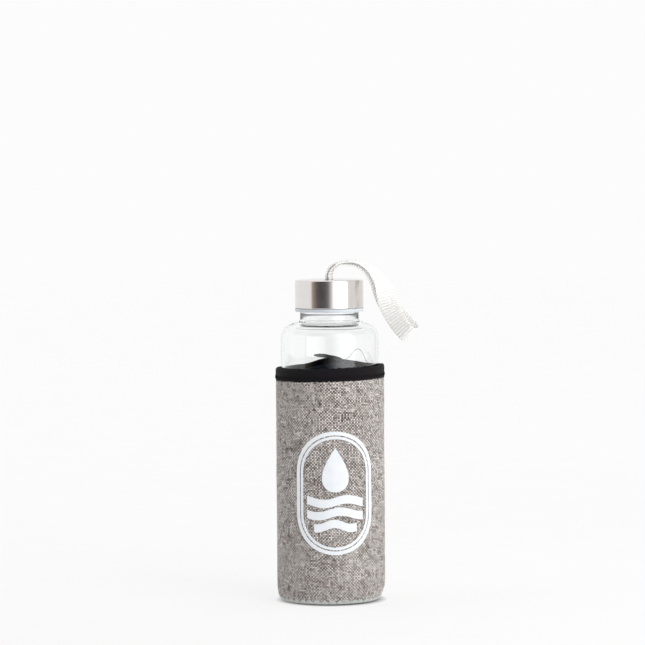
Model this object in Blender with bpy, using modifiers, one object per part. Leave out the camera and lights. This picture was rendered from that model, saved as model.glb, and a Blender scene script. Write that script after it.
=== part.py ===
"""A glass water bottle with a steel-clad screw cap, a webbing carrying strap and a fitted fabric sleeve.

The origin is the centre of the glass base. +Z is up, the strap hangs towards +X and the badge faces -Y.
Lengths in this file are millimetres and angles are degrees. Helpers turn them into metres.
"""

import math

import bmesh
import bpy
from mathutils import Matrix, Vector

MM = 0.001
SEGMENTS = 48  # facets round every turned piece, shared so that nested walls stay parallel
GAP = 0.3  # clearance between pieces that touch on the real object

# Glass bottle
BODY_RADIUS = 32.75
GLASS_WALL = 2.3
BASE_THICKNESS = 5.5
HEEL_RADIUS = 4.5
SHOULDER_Z = 175.5
SHOULDER_RADIUS = 11.0
SHOULDER_TURN = 62.0  # how far the shoulder's arc bends in before it runs straight to the neck
NECK_RADIUS = 19.7
NECK_FILLET = 2.5
NECK_Z = 190.3
NECK_BORE = 16.6
BEAD_TOP = 196.6
FINISH_RADIUS = 18.9
RIM_Z = 206.7

# Screw thread, shared by the glass finish and the cap's liner
THREAD_LEAD = 4.5
THREAD_START_Z = 199.2
THREAD_DEPTH = 1.5
THREAD_ROOT_HALF = 1.1
THREAD_CREST_HALF = 0.5
THREAD_FADE = 30.0  # the run-out at each end
GLASS_THREAD = (0.0, 1.1)  # first and last turn
LINER_THREAD = (0.3, 1.3)

# Cap
CAP_RADIUS = 23.0
CAP_TOP = 215.0
SHELL_WALL = 0.6
SHELL_EDGE_RADIUS = 1.2
SHELL_BOTTOM = 195.6
LINER_RADIUS = CAP_RADIUS - SHELL_WALL - GAP
LINER_BORE = 20.8
LINER_TOP = 210.3
LINER_PLATE = 1.4
LINER_BOTTOM = 194.0
LIP_TOP = SHELL_BOTTOM - GAP
LINER_THREAD_DEPTH = 1.4
GASKET_THICKNESS = 1.6
GASKET_RADII = (15.6, 20.4)

# Strap
STRAP_HEADING = -17.0  # the strap's direction seen from above, from +X
WEBBING_WIDTH = 13.0
WEBBING_THICKNESS = 0.9
PIN_RADIUS = 0.8
PIN_LENGTH = 19.0
PIN_Z = 212.6
SLOT_LENGTH = WEBBING_WIDTH + 3.2
SLOT_WIDTH = 2 * (PIN_RADIUS + GAP + WEBBING_THICKNESS + GAP)
ROOT_TOP = CAP_TOP + 0.8
LOOP_START = CAP_TOP + 3.6  # the moving part starts here, clear of the lid at every angle

# Sleeve
SLEEVE_TOP = 157.0
BINDING_HEIGHT = 8.2
BINDING_INSIDE = 3.2  # the tape's inner fold is much shorter than its outer one
LINING_INNER = BODY_RADIUS + GAP
LINING_OUTER = 35.1
LINING_BOTTOM = 5.2
FABRIC_INNER = LINING_OUTER + GAP
FABRIC_OUTER = 36.2
BINDING_OUTER = 36.7
BINDING_TAPE = 0.6
RIM_TILT = 0.8  # the rim is this much higher on the strap's side
SEAM_RISE = 3.4  # the rim stands up this much by the back seam
SEAM_PEAK = 2.0  # the highest point is this far along the rim from the seam, towards +X
SEAM_SPREAD = (18.0, 11.0)  # how far along the rim the rise fades, on the +X and on the -X side
RISE_STARTS_Z = 120.0

# Badge and seam
BADGE_WIDTH = 48.0
BADGE_HEIGHT = 82.0
BADGE_CENTRE_Z = 75.0
FILM_THICKNESS = 0.3
SEAM_WIDTH = 5.0
SEAM_ENDS_Z = (8.0, SLEEVE_TOP - BINDING_HEIGHT - 1.0)

# The binding's standing end: x, its height above the rim, and its thickness
TAIL = (
    (-8.2, 3.6, 1.3),
    (-3.6, 1.5, 1.6),
    (0.2, 0.3, 1.7),
    (3.8, 0.0, 1.4),
    (7.4, 0.0, 1.1),
    (11.0, 0.0, 0.7),
)

# A loop of thread that has come free: x, and the height above the rim
LOOSE_THREAD_RADIUS = 0.2
LOOSE_THREAD = (
    (12.5, 0.1),
    (15.0, 1.6),
    (17.6, 5.4),
    (20.6, 8.9),
    (23.4, 9.2),
    (26.2, 5.6),
    (28.4, 1.0),
    (30.0, 0.1),
)

# Stitches along the binding
STITCH_COUNT = 60
STITCH_RADIUS = 0.2
STITCH_BAND_Z = (149.9, 152.3)

COLOURS = {  # red, green, blue, roughness, metallic, alpha
    "glass": (0.88, 0.94, 0.92, 0.03, 0.0, 0.35),
    "steel": (0.62, 0.60, 0.58, 0.28, 1.0, 1.0),
    "liner": (0.80, 0.82, 0.85, 0.40, 0.0, 1.0),
    "silicone": (0.86, 0.87, 0.88, 0.50, 0.0, 1.0),
    "webbing": (0.84, 0.84, 0.81, 0.80, 0.0, 1.0),
    "linen": (0.36, 0.34, 0.32, 0.90, 0.0, 1.0),
    "neoprene": (0.02, 0.024, 0.03, 0.85, 0.0, 1.0),
    "binding": (0.012, 0.011, 0.013, 0.80, 0.0, 1.0),
    "hem_thread": (0.55, 0.56, 0.54, 0.80, 0.0, 1.0),
    "print": (0.86, 0.89, 0.93, 0.55, 0.0, 1.0),
}


def start_scene():
    """Clears the scene and returns the collections for the parts and for the cutters."""
    for obj in list(bpy.data.objects):
        bpy.data.objects.remove(obj)
    parts = bpy.data.collections.new("glass_water_bottle")
    cutters = bpy.data.collections.new("cutters")
    for collection in (parts, cutters):
        bpy.context.scene.collection.children.link(collection)
    return parts, cutters


PARTS, CUTTERS = start_scene()


# ---------------------------------------------------------------- helpers


def material(name):
    """The material of that name, made the first time it is asked for."""
    found = bpy.data.materials.get(name)
    if found:
        return found
    red, green, blue, roughness, metallic, alpha = COLOURS[name]
    made = bpy.data.materials.new(name)
    made.use_nodes = True
    shader = made.node_tree.nodes["Principled BSDF"]
    shader.inputs["Base Color"].default_value = (red, green, blue, 1.0)
    shader.inputs["Roughness"].default_value = roughness
    shader.inputs["Metallic"].default_value = metallic
    shader.inputs["Alpha"].default_value = alpha
    return made


def add_object(name, data, finish=None, collection=PARTS):
    """Links an object for this mesh or curve, with its material."""
    obj = bpy.data.objects.new(name, data)
    collection.objects.link(obj)
    if finish:
        data.materials.append(material(finish))
    return obj


def add_mesh(name, points, edges=(), faces=(), finish=None, collection=PARTS):
    """An object from points in millimetres."""
    mesh = bpy.data.meshes.new(name)
    mesh.from_pydata([tuple(c * MM for c in p) for p in points], list(edges), list(faces))
    return add_object(name, mesh, finish, collection)


def baked(obj):
    """Applies the object's modifiers, so that its mesh can be edited or cut."""
    graph = bpy.context.evaluated_depsgraph_get()
    mesh = bpy.data.meshes.new_from_object(obj.evaluated_get(graph), depsgraph=graph)
    obj.modifiers.clear()
    obj.data = mesh
    return obj


def smooth(obj, angle=35.0):
    """Shades the mesh smooth, apart from edges sharper than the angle."""
    obj.data.shade_smooth()
    obj.data.set_sharp_from_angle(angle=math.radians(angle))


def turned(name, profile, finish=None, collection=PARTS):
    """Turns a profile of (radius, z) about Z.

    The profile runs down its outer side. One that starts off the axis closes on itself.
    """
    points = [(r, 0.0, z) for r, z in profile]
    edges = [(i, i + 1) for i in range(len(points) - 1)]
    if profile[0][0] > 0.0:
        edges.append((len(points) - 1, 0))
    obj = add_mesh(name, points, edges, finish=finish, collection=collection)
    screw = obj.modifiers.new("Turn", "SCREW")
    screw.steps = screw.render_steps = SEGMENTS
    screw.use_merge_vertices = True
    screw.merge_threshold = 0.00001
    screw.use_smooth_shade = False
    baked(obj)
    smooth(obj)
    return obj


def arc(centre, radius, first, last, steps):
    """Points of (radius, z) on an arc, from one angle to another."""
    angles = [math.radians(first + (last - first) * i / steps) for i in range(steps + 1)]
    return [(centre[0] + radius * math.cos(a), centre[1] + radius * math.sin(a)) for a in angles]


def boolean(target, other, operation):
    """Joins, cuts or keeps the common part, and applies the result at once."""
    modifier = target.modifiers.new(operation.title(), "BOOLEAN")
    modifier.operation = operation
    modifier.object = other
    modifier.solver = "EXACT"
    baked(target)
    bpy.data.objects.remove(other)
    smooth(target)


def box_between(name, low, high):
    """A box cutter between two corners in millimetres."""
    bpy.ops.mesh.primitive_cube_add(size=1.0)
    obj = bpy.context.active_object
    obj.name = name
    move_to(obj, CUTTERS)
    size = [b - a for a, b in zip(low, high)]
    middle = [(a + b) / 2 for a, b in zip(low, high)]
    obj.data.transform(Matrix.Diagonal((*[s * MM for s in size], 1.0)))
    obj.data.transform(Matrix.Translation(Vector(middle) * MM))
    return obj


def move_to(obj, collection):
    """Puts an object made by an operator into one of this file's collections."""
    for other in list(obj.users_collection):
        other.objects.unlink(obj)
    collection.objects.link(obj)


def plate(name, outline, depth):
    """A prism cutter: a closed outline of (x, z), centred on it along Y."""
    count = len(outline)
    points = [(x, y, z) for y in (-depth / 2, depth / 2) for x, z in outline]
    sides = [(i, (i + 1) % count, count + (i + 1) % count, count + i) for i in range(count)]
    caps = [tuple(range(count))[::-1], tuple(range(count, 2 * count))]
    obj = add_mesh(name, points, faces=sides + caps, collection=CUTTERS)
    shape = bmesh.new()
    shape.from_mesh(obj.data)
    bmesh.ops.recalc_face_normals(shape, faces=shape.faces)
    shape.to_mesh(obj.data)
    shape.free()
    return obj


def ring_patch(name, outline, radii, facing, finish):
    """A thin curved patch: the part of a ring between two radii that lies behind a flat outline.

    The outline is (x, z), and facing is -1 for the front of the object and 1 for its back.
    """
    inner, outer = radii
    low = min(z for _, z in outline) - 1.0
    high = max(z for _, z in outline) + 1.0
    patch = turned(name, [(inner, high), (outer, high), (outer, low), (inner, low)], finish)
    cutter = plate(name + "_cutter", outline, outer)
    cutter.data.transform(Matrix.Translation((0.0, facing * outer * MM, 0.0)))
    boolean(patch, cutter, "INTERSECT")
    return patch


def smooth_line(points, step):
    """A Catmull-Rom curve through points of any dimension, sampled about every step."""
    ends = [points[0]] + list(points) + [points[-1]]
    line = []
    for a, b, c, d in zip(ends, ends[1:], ends[2:], ends[3:]):
        count = max(1, round(math.dist(b[:2], c[:2]) / step))
        for i in range(count):
            t = i / count
            weights = (
                -0.5 * t + t * t - 0.5 * t ** 3,
                1.0 - 2.5 * t * t + 1.5 * t ** 3,
                0.5 * t + 2.0 * t * t - 1.5 * t ** 3,
                -0.5 * t * t + 0.5 * t ** 3,
            )
            line.append(tuple(sum(w * p[k] for w, p in zip(weights, (a, b, c, d))) for k in range(len(b))))
    return line + [tuple(points[-1])]


# ---------------------------------------------------------------- glass bottle


def shoulder(offset):
    """The shoulder's arc, this far inside the outer surface, from the neck down to the body."""
    centre = (BODY_RADIUS - SHOULDER_RADIUS, SHOULDER_Z)
    return arc(centre, SHOULDER_RADIUS - offset, SHOULDER_TURN, 0.0, 6)


def bottle_profile():
    """Inner floor, up the inside, over the rim and down the outside to the centre of the base."""
    inner_heel = 6.0
    inner_radius = BODY_RADIUS - GLASS_WALL
    floor = [(0.0, BASE_THICKNESS)] + arc(
        (inner_radius - inner_heel, BASE_THICKNESS + inner_heel), inner_heel, -90.0, 0.0, 4
    )
    inside = shoulder(GLASS_WALL)[::-1] + [
        (NECK_BORE + 1.2, NECK_Z - 4.0),
        (NECK_BORE, NECK_Z - 1.8),
        (NECK_BORE, RIM_Z - 0.6),
    ]
    rim = [
        (NECK_BORE + 0.5, RIM_Z),
        (FINISH_RADIUS - 0.6, RIM_Z),
        (FINISH_RADIUS, RIM_Z - 0.6),
    ]
    neck = [
        (FINISH_RADIUS, BEAD_TOP + 0.8),
        (NECK_RADIUS, BEAD_TOP),
        (NECK_RADIUS, NECK_Z),
        (NECK_RADIUS + 0.4, NECK_Z - NECK_FILLET / 2),
        (NECK_RADIUS + 1.6, NECK_Z - NECK_FILLET),
    ]
    heel = arc((BODY_RADIUS - HEEL_RADIUS, HEEL_RADIUS), HEEL_RADIUS, 0.0, -90.0, 5)
    return floor + inside + rim + neck + shoulder(0.0) + heel + [(0.0, 0.0)]


def thread(name, wall, crest, turns, z_shift):
    """A helical ridge from the wall's radius to the crest's, fading out at both ends.

    It is a loft, because the sections shrink at the run-outs. Its root is buried in the wall that it joins.
    """
    first, last = turns
    steps = round((last - first) * SEGMENTS)
    buried = wall + math.copysign(0.6, wall - crest)
    fade_steps = THREAD_FADE / 360.0 * SEGMENTS
    rings = []
    for i in range(steps + 1):
        turn = first + i / SEGMENTS
        angle = 2.0 * math.pi * turn
        grown = min(1.0, (min(i, steps - i) + 0.4) / fade_steps)
        middle = THREAD_START_Z + z_shift + THREAD_LEAD * turn
        top = wall + (crest - wall) * grown
        section = [
            (buried, THREAD_ROOT_HALF),
            (wall, THREAD_ROOT_HALF),
            (top, THREAD_CREST_HALF),
            (top, -THREAD_CREST_HALF),
            (wall, -THREAD_ROOT_HALF),
            (buried, -THREAD_ROOT_HALF),
        ]
        rings.append([(r * math.cos(angle), r * math.sin(angle), middle + dz) for r, dz in section])
    count = len(rings[0])
    faces = [
        (i * count + k, i * count + (k + 1) % count, (i + 1) * count + (k + 1) % count, (i + 1) * count + k)
        for i in range(steps)
        for k in range(count)
    ]
    faces += [tuple(range(count))[::-1], tuple(range(steps * count, (steps + 1) * count))]
    obj = add_mesh(name, [p for ring in rings for p in ring], faces=faces, collection=CUTTERS)
    shape = bmesh.new()
    shape.from_mesh(obj.data)
    bmesh.ops.recalc_face_normals(shape, faces=shape.faces)
    shape.to_mesh(obj.data)
    shape.free()
    return obj


def glass_bottle():
    bottle = turned("glass_bottle", bottle_profile(), "glass")
    ridge = thread("glass_thread", FINISH_RADIUS, FINISH_RADIUS + THREAD_DEPTH, GLASS_THREAD, 0.0)
    boolean(bottle, ridge, "UNION")


# ---------------------------------------------------------------- cap


def strap_axes():
    """Unit vectors across the slot, along it, and up. The strap leans over in the first direction."""
    heading = math.radians(STRAP_HEADING)
    across = Vector((math.cos(heading), math.sin(heading), 0.0))
    along = Vector((-math.sin(heading), math.cos(heading), 0.0))
    return across, along, Vector((0.0, 0.0, 1.0))


def strap_point(across_mm, along_mm, z):
    """A point given across and along the slot, as millimetres in the object's frame."""
    across, along, up = strap_axes()
    return tuple(across * across_mm + along * along_mm + up * z)


def cap_shell():
    """The brushed steel cup, open at the bottom, with the strap's slot through its top."""
    inner = CAP_RADIUS - SHELL_WALL
    corner = (CAP_RADIUS - SHELL_EDGE_RADIUS, CAP_TOP - SHELL_EDGE_RADIUS)
    outside = [(0.0, CAP_TOP)] + arc(corner, SHELL_EDGE_RADIUS, 90.0, 0.0, 4)
    edge = [(CAP_RADIUS, SHELL_BOTTOM), (inner, SHELL_BOTTOM)]
    inside = arc(corner, SHELL_EDGE_RADIUS - SHELL_WALL, 0.0, 90.0, 3) + [(0.0, CAP_TOP - SHELL_WALL)]
    shell = turned("cap_shell", outside + edge + inside, "steel")
    boolean(shell, slot_cutter(), "DIFFERENCE")


def slot_cutter():
    """A slot with round ends, its length along the pin."""
    end = SLOT_WIDTH / 2
    half = SLOT_LENGTH / 2 - end
    outline = arc((half, 0.0), end, -90.0, 90.0, 6) + arc((-half, 0.0), end, 90.0, 270.0, 6)
    cutter = plate("slot_cutter", outline, 6.0)
    stand_up = Matrix.Rotation(math.radians(90.0), 4, "X")
    turn = Matrix.Rotation(math.radians(90.0 + STRAP_HEADING), 4, "Z")
    cutter.data.transform(Matrix.Translation((0.0, 0.0, CAP_TOP * MM)) @ turn @ stand_up)
    return cutter


def cap_liner():
    """The moulded cup in the shell: thread, sealing face, a lip below the shell, and cradles for the pin."""
    chamfer = 0.3
    profile = [
        (0.0, LINER_TOP),
        (LINER_RADIUS - 0.5, LINER_TOP),
        (LINER_RADIUS, LINER_TOP - 0.5),
        (LINER_RADIUS, LIP_TOP),
        (CAP_RADIUS - chamfer, LIP_TOP),
        (CAP_RADIUS, LIP_TOP - chamfer),
        (CAP_RADIUS, LINER_BOTTOM + chamfer),
        (CAP_RADIUS - chamfer, LINER_BOTTOM),
        (LINER_BORE + chamfer, LINER_BOTTOM),
        (LINER_BORE, LINER_BOTTOM + chamfer),
        (LINER_BORE, LINER_TOP - LINER_PLATE),
        (0.0, LINER_TOP - LINER_PLATE),
    ]
    liner = turned("cap_liner", profile, "liner")
    ridge = thread(
        "liner_thread", LINER_BORE, LINER_BORE - LINER_THREAD_DEPTH, LINER_THREAD, -THREAD_LEAD / 2
    )
    boolean(liner, ridge, "UNION")
    for side in (-1, 1):
        boolean(liner, pin_cradle(side), "UNION")


def pin_cradle(side):
    """A post under one end of the pin."""
    length, width = 2.4, 4.0
    middle = side * (PIN_LENGTH / 2 - length / 2)
    low = (-width / 2, middle - length / 2, LINER_TOP - 0.5)
    high = (width / 2, middle + length / 2, PIN_Z - PIN_RADIUS - GAP)
    post = box_between("pin_cradle", low, high)
    post.data.transform(Matrix.Rotation(math.radians(STRAP_HEADING), 4, "Z"))
    return post


def cap_gasket():
    """The silicone ring between the liner and the glass rim, with an eased edge all round."""
    inner, outer = GASKET_RADII
    top = LINER_TOP - LINER_PLATE - GAP
    bottom = top - GASKET_THICKNESS
    ease = 0.35
    profile = [
        (inner + ease, top),
        (outer - ease, top),
        (outer, top - ease),
        (outer, bottom + ease),
        (outer - ease, bottom),
        (inner + ease, bottom),
        (inner, bottom + ease),
        (inner, top - ease),
    ]
    turned("cap_gasket", profile, "silicone")


# ---------------------------------------------------------------- strap


def webbing(name, stations):
    """A band of webbing. Each station is its middle and the unit vector across the band."""
    half = WEBBING_WIDTH / 2
    points = []
    for middle, across_band in stations:
        points += [tuple(middle - across_band * half), tuple(middle + across_band * half)]
    faces = [(2 * i, 2 * i + 1, 2 * i + 3, 2 * i + 2) for i in range(len(stations) - 1)]
    band = add_mesh(name, points, faces=faces, finish="webbing")
    thick = band.modifiers.new("Thickness", "SOLIDIFY")
    thick.thickness = WEBBING_THICKNESS * MM
    thick.offset = 0.0
    thick.use_even_offset = True
    baked(band)
    smooth(band)
    return band


def strap_pin():
    """The steel pin that the webbing loops under, inside the lid."""
    bpy.ops.mesh.primitive_cylinder_add(vertices=16, radius=PIN_RADIUS * MM, depth=PIN_LENGTH * MM)
    pin = bpy.context.active_object
    pin.name = "strap_pin"
    move_to(pin, PARTS)
    pin.data.materials.append(material("steel"))
    _, along, _ = strap_axes()
    pin.location = (0.0, 0.0, PIN_Z * MM)
    pin.rotation_mode = "QUATERNION"
    pin.rotation_quaternion = along.to_track_quat("Z", "Y")
    smooth(pin)


def strap_root():
    """The stretch of webbing held in the cap: down one side of the pin, round it and up the other."""
    reach = PIN_RADIUS + GAP + WEBBING_THICKNESS / 2
    under = arc((0.0, PIN_Z), reach, 180.0, 360.0, 10)
    down = [(-reach, ROOT_TOP), (-reach, CAP_TOP - 0.6)]
    rise = [(reach, CAP_TOP - 0.6), (reach, ROOT_TOP)]
    line = down + under + rise
    _, along, _ = strap_axes()
    webbing("strap_root", [(Vector(strap_point(u, 0.0, z)), along) for u, z in line])


# The middle of the loop, between its two runs: across the slot, z, the gap between the runs' middles, and
# the band's twist in degrees. It rises from the slot, goes over the lid's edge and hangs by the shoulder.
STRAP_LINE = (
    (0.0, LOOP_START, 1.8, 0.0),
    (1.7, 222.4, 1.8, 0.0),
    (5.7, 225.4, 1.9, 2.0),
    (11.2, 226.5, 2.1, 3.0),
    (16.6, 226.3, 2.3, 5.0),
    (21.8, 225.0, 2.6, 8.0),
    (26.6, 221.8, 3.0, 12.0),
    (30.6, 217.6, 3.5, 20.0),
    (34.2, 212.6, 4.2, 34.0),
    (37.2, 206.3, 5.0, 54.0),
    (39.6, 200.4, 5.9, 75.0),
    (42.6, 194.8, 6.8, 90.0),
    (46.2, 189.6, 7.7, 99.0),
    (50.0, 185.0, 8.5, 105.0),
    (53.2, 181.6, 9.0, 109.0),
)
TIP_STEPS = 10


def strap_stations():
    """The band's stations: out along the loop's outer run, round its tip and back along the inner run."""
    _, along, _ = strap_axes()
    line = smooth_line(STRAP_LINE, 2.2)
    outgoing, returning = [], []
    for i, (u, z, gap, twist) in enumerate(line):
        before, after = line[max(i - 1, 0)], line[min(i + 1, len(line) - 1)]
        ahead = Vector(strap_point(after[0] - before[0], 0.0, after[1] - before[1])).normalized()
        turn = Matrix.Rotation(math.radians(twist), 3, ahead)
        band = turn @ along
        outward = turn @ ahead.cross(along)
        middle = Vector(strap_point(u, 0.0, z))
        outgoing.append((middle + outward * gap / 2, band))
        returning.insert(0, (middle - outward * gap / 2, band))
    tip = []
    for i in range(1, TIP_STEPS):
        angle = math.pi * i / TIP_STEPS
        tip.append((middle + (outward * math.cos(angle) + ahead * math.sin(angle)) * gap / 2, band))
    return outgoing + tip + returning


def strap_loop():
    """The free loop, which swings on the cap about the slot's mouth."""
    webbing("strap_loop", strap_stations())


# ---------------------------------------------------------------- sleeve


def heel_point(radius, below):
    """A point about the centre of the glass heel, so many degrees below the level."""
    angle = math.radians(below)
    centre = BODY_RADIUS - HEEL_RADIUS
    return centre + radius * math.cos(angle), HEEL_RADIUS - radius * math.sin(angle)


def rim_rise(x, y, z):
    """How much higher this point of the sleeve stands: the rim is tilted, and pulled up at the back seam."""
    share = min(1.0, max(0.0, (z - RISE_STARTS_Z) / (SLEEVE_TOP - BINDING_HEIGHT - RISE_STARTS_Z)))
    radius = math.hypot(x, y)
    from_peak = math.atan2(x, y) * radius - SEAM_PEAK
    spread = SEAM_SPREAD[0] if from_peak > 0.0 else SEAM_SPREAD[1]
    rise = RIM_TILT * x / radius + SEAM_RISE * math.exp(-((from_peak / spread) ** 2))
    return share * share * rise


def raised(obj):
    """Moves a sleeve piece's points up with the rim."""
    for vertex in obj.data.vertices:
        x, y, z = (c / MM for c in vertex.co)
        vertex.co.z += rim_rise(x, y, z) * MM
    return obj


def sleeve_lining():
    """The neoprene tube. It is pressed thinner where the binding folds over it."""
    fold = BINDING_TAPE + GAP
    under_binding = SLEEVE_TOP - BINDING_HEIGHT - GAP
    under_fold = SLEEVE_TOP - BINDING_INSIDE - GAP
    top = SLEEVE_TOP - BINDING_TAPE - GAP
    profile = [
        (LINING_INNER + fold, top),
        (LINING_OUTER - 0.4, top),
        (LINING_OUTER - 0.4, under_binding),
        (LINING_OUTER, under_binding - 2.0),
        (LINING_OUTER, RISE_STARTS_Z),
        (LINING_OUTER, 60.0),
        (LINING_OUTER, LINING_BOTTOM),
        (LINING_INNER, LINING_BOTTOM),
        (LINING_INNER, 60.0),
        (LINING_INNER, RISE_STARTS_Z),
        (LINING_INNER, under_fold - 1.0),
        (LINING_INNER + fold, under_fold),
    ]
    raised(turned("sleeve_lining", profile, "neoprene"))


def sleeve_fabric():
    """The woven face: a tube outside the lining, turned under it at the bottom to hold the glass heel."""
    top = SLEEVE_TOP - BINDING_TAPE - GAP
    under_binding = SLEEVE_TOP - BINDING_HEIGHT - GAP
    outside = [
        (FABRIC_OUTER - 0.4, top),
        (FABRIC_OUTER - 0.4, under_binding),
        (FABRIC_OUTER, under_binding - 1.0),
        (FABRIC_OUTER, RISE_STARTS_Z),
        (FABRIC_OUTER, 60.0),
        (FABRIC_OUTER, 12.0),
        (FABRIC_OUTER - 0.15, 8.0),
    ]
    hem = [heel_point(7.45, 0.0), heel_point(7.0, 12.0), heel_point(6.35, 24.0), heel_point(5.9, 33.0)]
    hem_inside = [heel_point(5.15, 33.0), heel_point(5.15, 20.0), heel_point(5.2, 6.0)]
    inside = [
        (FABRIC_INNER - 0.4, LINING_BOTTOM - 0.5),
        (FABRIC_INNER, LINING_BOTTOM + 0.6),
        (FABRIC_INNER, 60.0),
        (FABRIC_INNER, RISE_STARTS_Z),
        (FABRIC_INNER, under_binding - 1.7),
        (FABRIC_INNER - 0.4, under_binding + 0.3),
        (FABRIC_INNER - 0.4, top),
    ]
    raised(turned("sleeve_fabric", outside + hem + hem_inside + inside, "linen"))


def sleeve_binding():
    """The black tape folded over the sleeve's top edge."""
    bottom = SLEEVE_TOP - BINDING_HEIGHT
    inner = LINING_INNER
    profile = [
        (inner + 0.7, SLEEVE_TOP),
        (BINDING_OUTER - 0.9, SLEEVE_TOP),
        (BINDING_OUTER - 0.25, SLEEVE_TOP - 0.3),
        (BINDING_OUTER, SLEEVE_TOP - 1.0),
        (BINDING_OUTER, bottom),
        (BINDING_OUTER - BINDING_TAPE, bottom),
        (BINDING_OUTER - BINDING_TAPE, SLEEVE_TOP - BINDING_TAPE),
        (inner + BINDING_TAPE, SLEEVE_TOP - BINDING_TAPE),
        (inner + BINDING_TAPE, SLEEVE_TOP - BINDING_INSIDE),
        (inner, SLEEVE_TOP - BINDING_INSIDE),
        (inner, SLEEVE_TOP - 0.8),
    ]
    raised(turned("sleeve_binding", profile, "binding"))


def binding_tail():
    """The binding's cut end, left standing up where the tape overlaps at the back seam."""
    radii = (34.2, 35.2)
    under = []
    over = []
    for x, lift, thickness in TAIL:
        y = math.sqrt(radii[1] ** 2 - x ** 2)
        low = SLEEVE_TOP + rim_rise(x, y, SLEEVE_TOP) + GAP + lift
        under.append((x, low))
        over.insert(0, (x, low + thickness))
    ring_patch("binding_tail", under + over, radii, 1, "binding")


def loose_thread():
    """A loop of overlock thread that has come free at the rim, beside the back seam."""
    radius = (LINING_INNER + BINDING_OUTER) / 2
    line = bpy.data.curves.new("loose_thread", "CURVE")
    line.dimensions = "3D"
    line.bevel_depth = LOOSE_THREAD_RADIUS * MM
    line.bevel_resolution = 0
    line.use_fill_caps = True
    spline = line.splines.new("POLY")
    points = smooth_line(LOOSE_THREAD, 1.0)
    spline.points.add(len(points) - 1)
    for point, (x, height) in zip(spline.points, points):
        y = math.sqrt(radius ** 2 - x ** 2)
        rim = SLEEVE_TOP + rim_rise(x, y, SLEEVE_TOP)
        point.co = (x * MM, y * MM, (rim + GAP + LOOSE_THREAD_RADIUS + height) * MM, 1.0)
    add_object("loose_thread", line, "hem_thread")


def binding_stitches():
    """The zigzag thread that holds the binding, all round its lower half."""
    radius = BINDING_OUTER + GAP + STITCH_RADIUS
    line = bpy.data.curves.new("binding_stitches", "CURVE")
    line.dimensions = "3D"
    line.bevel_depth = STITCH_RADIUS * MM
    line.bevel_resolution = 0
    spline = line.splines.new("POLY")
    count = 2 * STITCH_COUNT
    spline.points.add(count - 1)
    for i, point in enumerate(spline.points):
        angle = 2.0 * math.pi * i / count
        x, y, z = radius * math.cos(angle), radius * math.sin(angle), STITCH_BAND_Z[i % 2]
        point.co = (x * MM, y * MM, (z + rim_rise(x, y, z)) * MM, 1.0)
    spline.use_cyclic_u = True
    add_object("binding_stitches", line, "binding")


def hem_overlock():
    """The band of overlock thread wrapped round the sleeve's cut bottom edge."""
    outside = [heel_point(7.55, 14.0), heel_point(6.95, 24.0), heel_point(6.5, 33.0), heel_point(6.1, 40.0)]
    inside = [heel_point(5.1, 40.0), heel_point(5.1, 36.5), heel_point(6.05, 36.5), heel_point(6.65, 24.0)]
    turned("hem_overlock", outside + inside + [heel_point(7.2, 13.0)], "hem_thread")


def back_seam_thread():
    """The flat seam that closes the sleeve into a tube, a strip down its back."""
    half = SEAM_WIDTH / 2
    low, high = SEAM_ENDS_Z
    outline = [(-half, low), (half, low), (half, high), (-half, high)]
    radii = (FABRIC_OUTER + GAP, FABRIC_OUTER + GAP + FILM_THICKNESS)
    ring_patch("back_seam_thread", outline, radii, 1, "hem_thread")


def front_print():
    """The printed badge's film, a tall capsule on the front of the sleeve."""
    end = BADGE_WIDTH / 2
    half = BADGE_HEIGHT / 2 - end
    outline = arc((0.0, BADGE_CENTRE_Z + half), end, 0.0, 180.0, 12)
    outline += arc((0.0, BADGE_CENTRE_Z - half), end, 180.0, 360.0, 12)
    radii = (FABRIC_OUTER + GAP, FABRIC_OUTER + GAP + FILM_THICKNESS)
    ring_patch("front_print", outline, radii, -1, "print")


glass_bottle()
cap_shell()
cap_liner()
cap_gasket()
strap_pin()
strap_root()
strap_loop()
sleeve_lining()
sleeve_fabric()
sleeve_binding()
binding_tail()
loose_thread()
binding_stitches()
hem_overlock()
back_seam_thread()
front_print()
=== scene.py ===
"""The looks of a glass water bottle: clear glass, a brushed steel cap, white webbing and a woven sleeve.

Pieces are made in millimetres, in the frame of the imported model, and turned into metres as meshes.
"""

import math
import random

import bmesh
import bpy
import numpy as np
from mathutils import Matrix, Vector, noise

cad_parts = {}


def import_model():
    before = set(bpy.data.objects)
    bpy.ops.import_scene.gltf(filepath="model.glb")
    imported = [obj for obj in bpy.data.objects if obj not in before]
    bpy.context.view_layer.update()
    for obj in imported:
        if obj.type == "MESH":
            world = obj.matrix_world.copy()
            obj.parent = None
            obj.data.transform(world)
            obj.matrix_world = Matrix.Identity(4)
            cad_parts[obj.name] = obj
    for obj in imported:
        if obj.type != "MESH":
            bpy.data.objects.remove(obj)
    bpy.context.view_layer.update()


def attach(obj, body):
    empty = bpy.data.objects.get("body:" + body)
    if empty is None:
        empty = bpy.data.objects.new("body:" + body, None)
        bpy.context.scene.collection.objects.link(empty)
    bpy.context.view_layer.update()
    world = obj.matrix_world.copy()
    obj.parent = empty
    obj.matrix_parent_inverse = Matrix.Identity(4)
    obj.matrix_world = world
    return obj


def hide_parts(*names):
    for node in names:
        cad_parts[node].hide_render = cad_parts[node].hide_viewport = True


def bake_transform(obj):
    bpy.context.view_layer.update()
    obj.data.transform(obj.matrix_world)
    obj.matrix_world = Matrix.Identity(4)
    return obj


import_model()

MM = 0.001

# ---------------------------------------------------------------- sizes, in millimetres

# As in the CAD model, apart from SHOULDER_TURN, NECK_Z, SHELL_BOTTOM, LINER_BOTTOM and LIP_TOP, which are
# later readings of the same edges.

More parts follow.
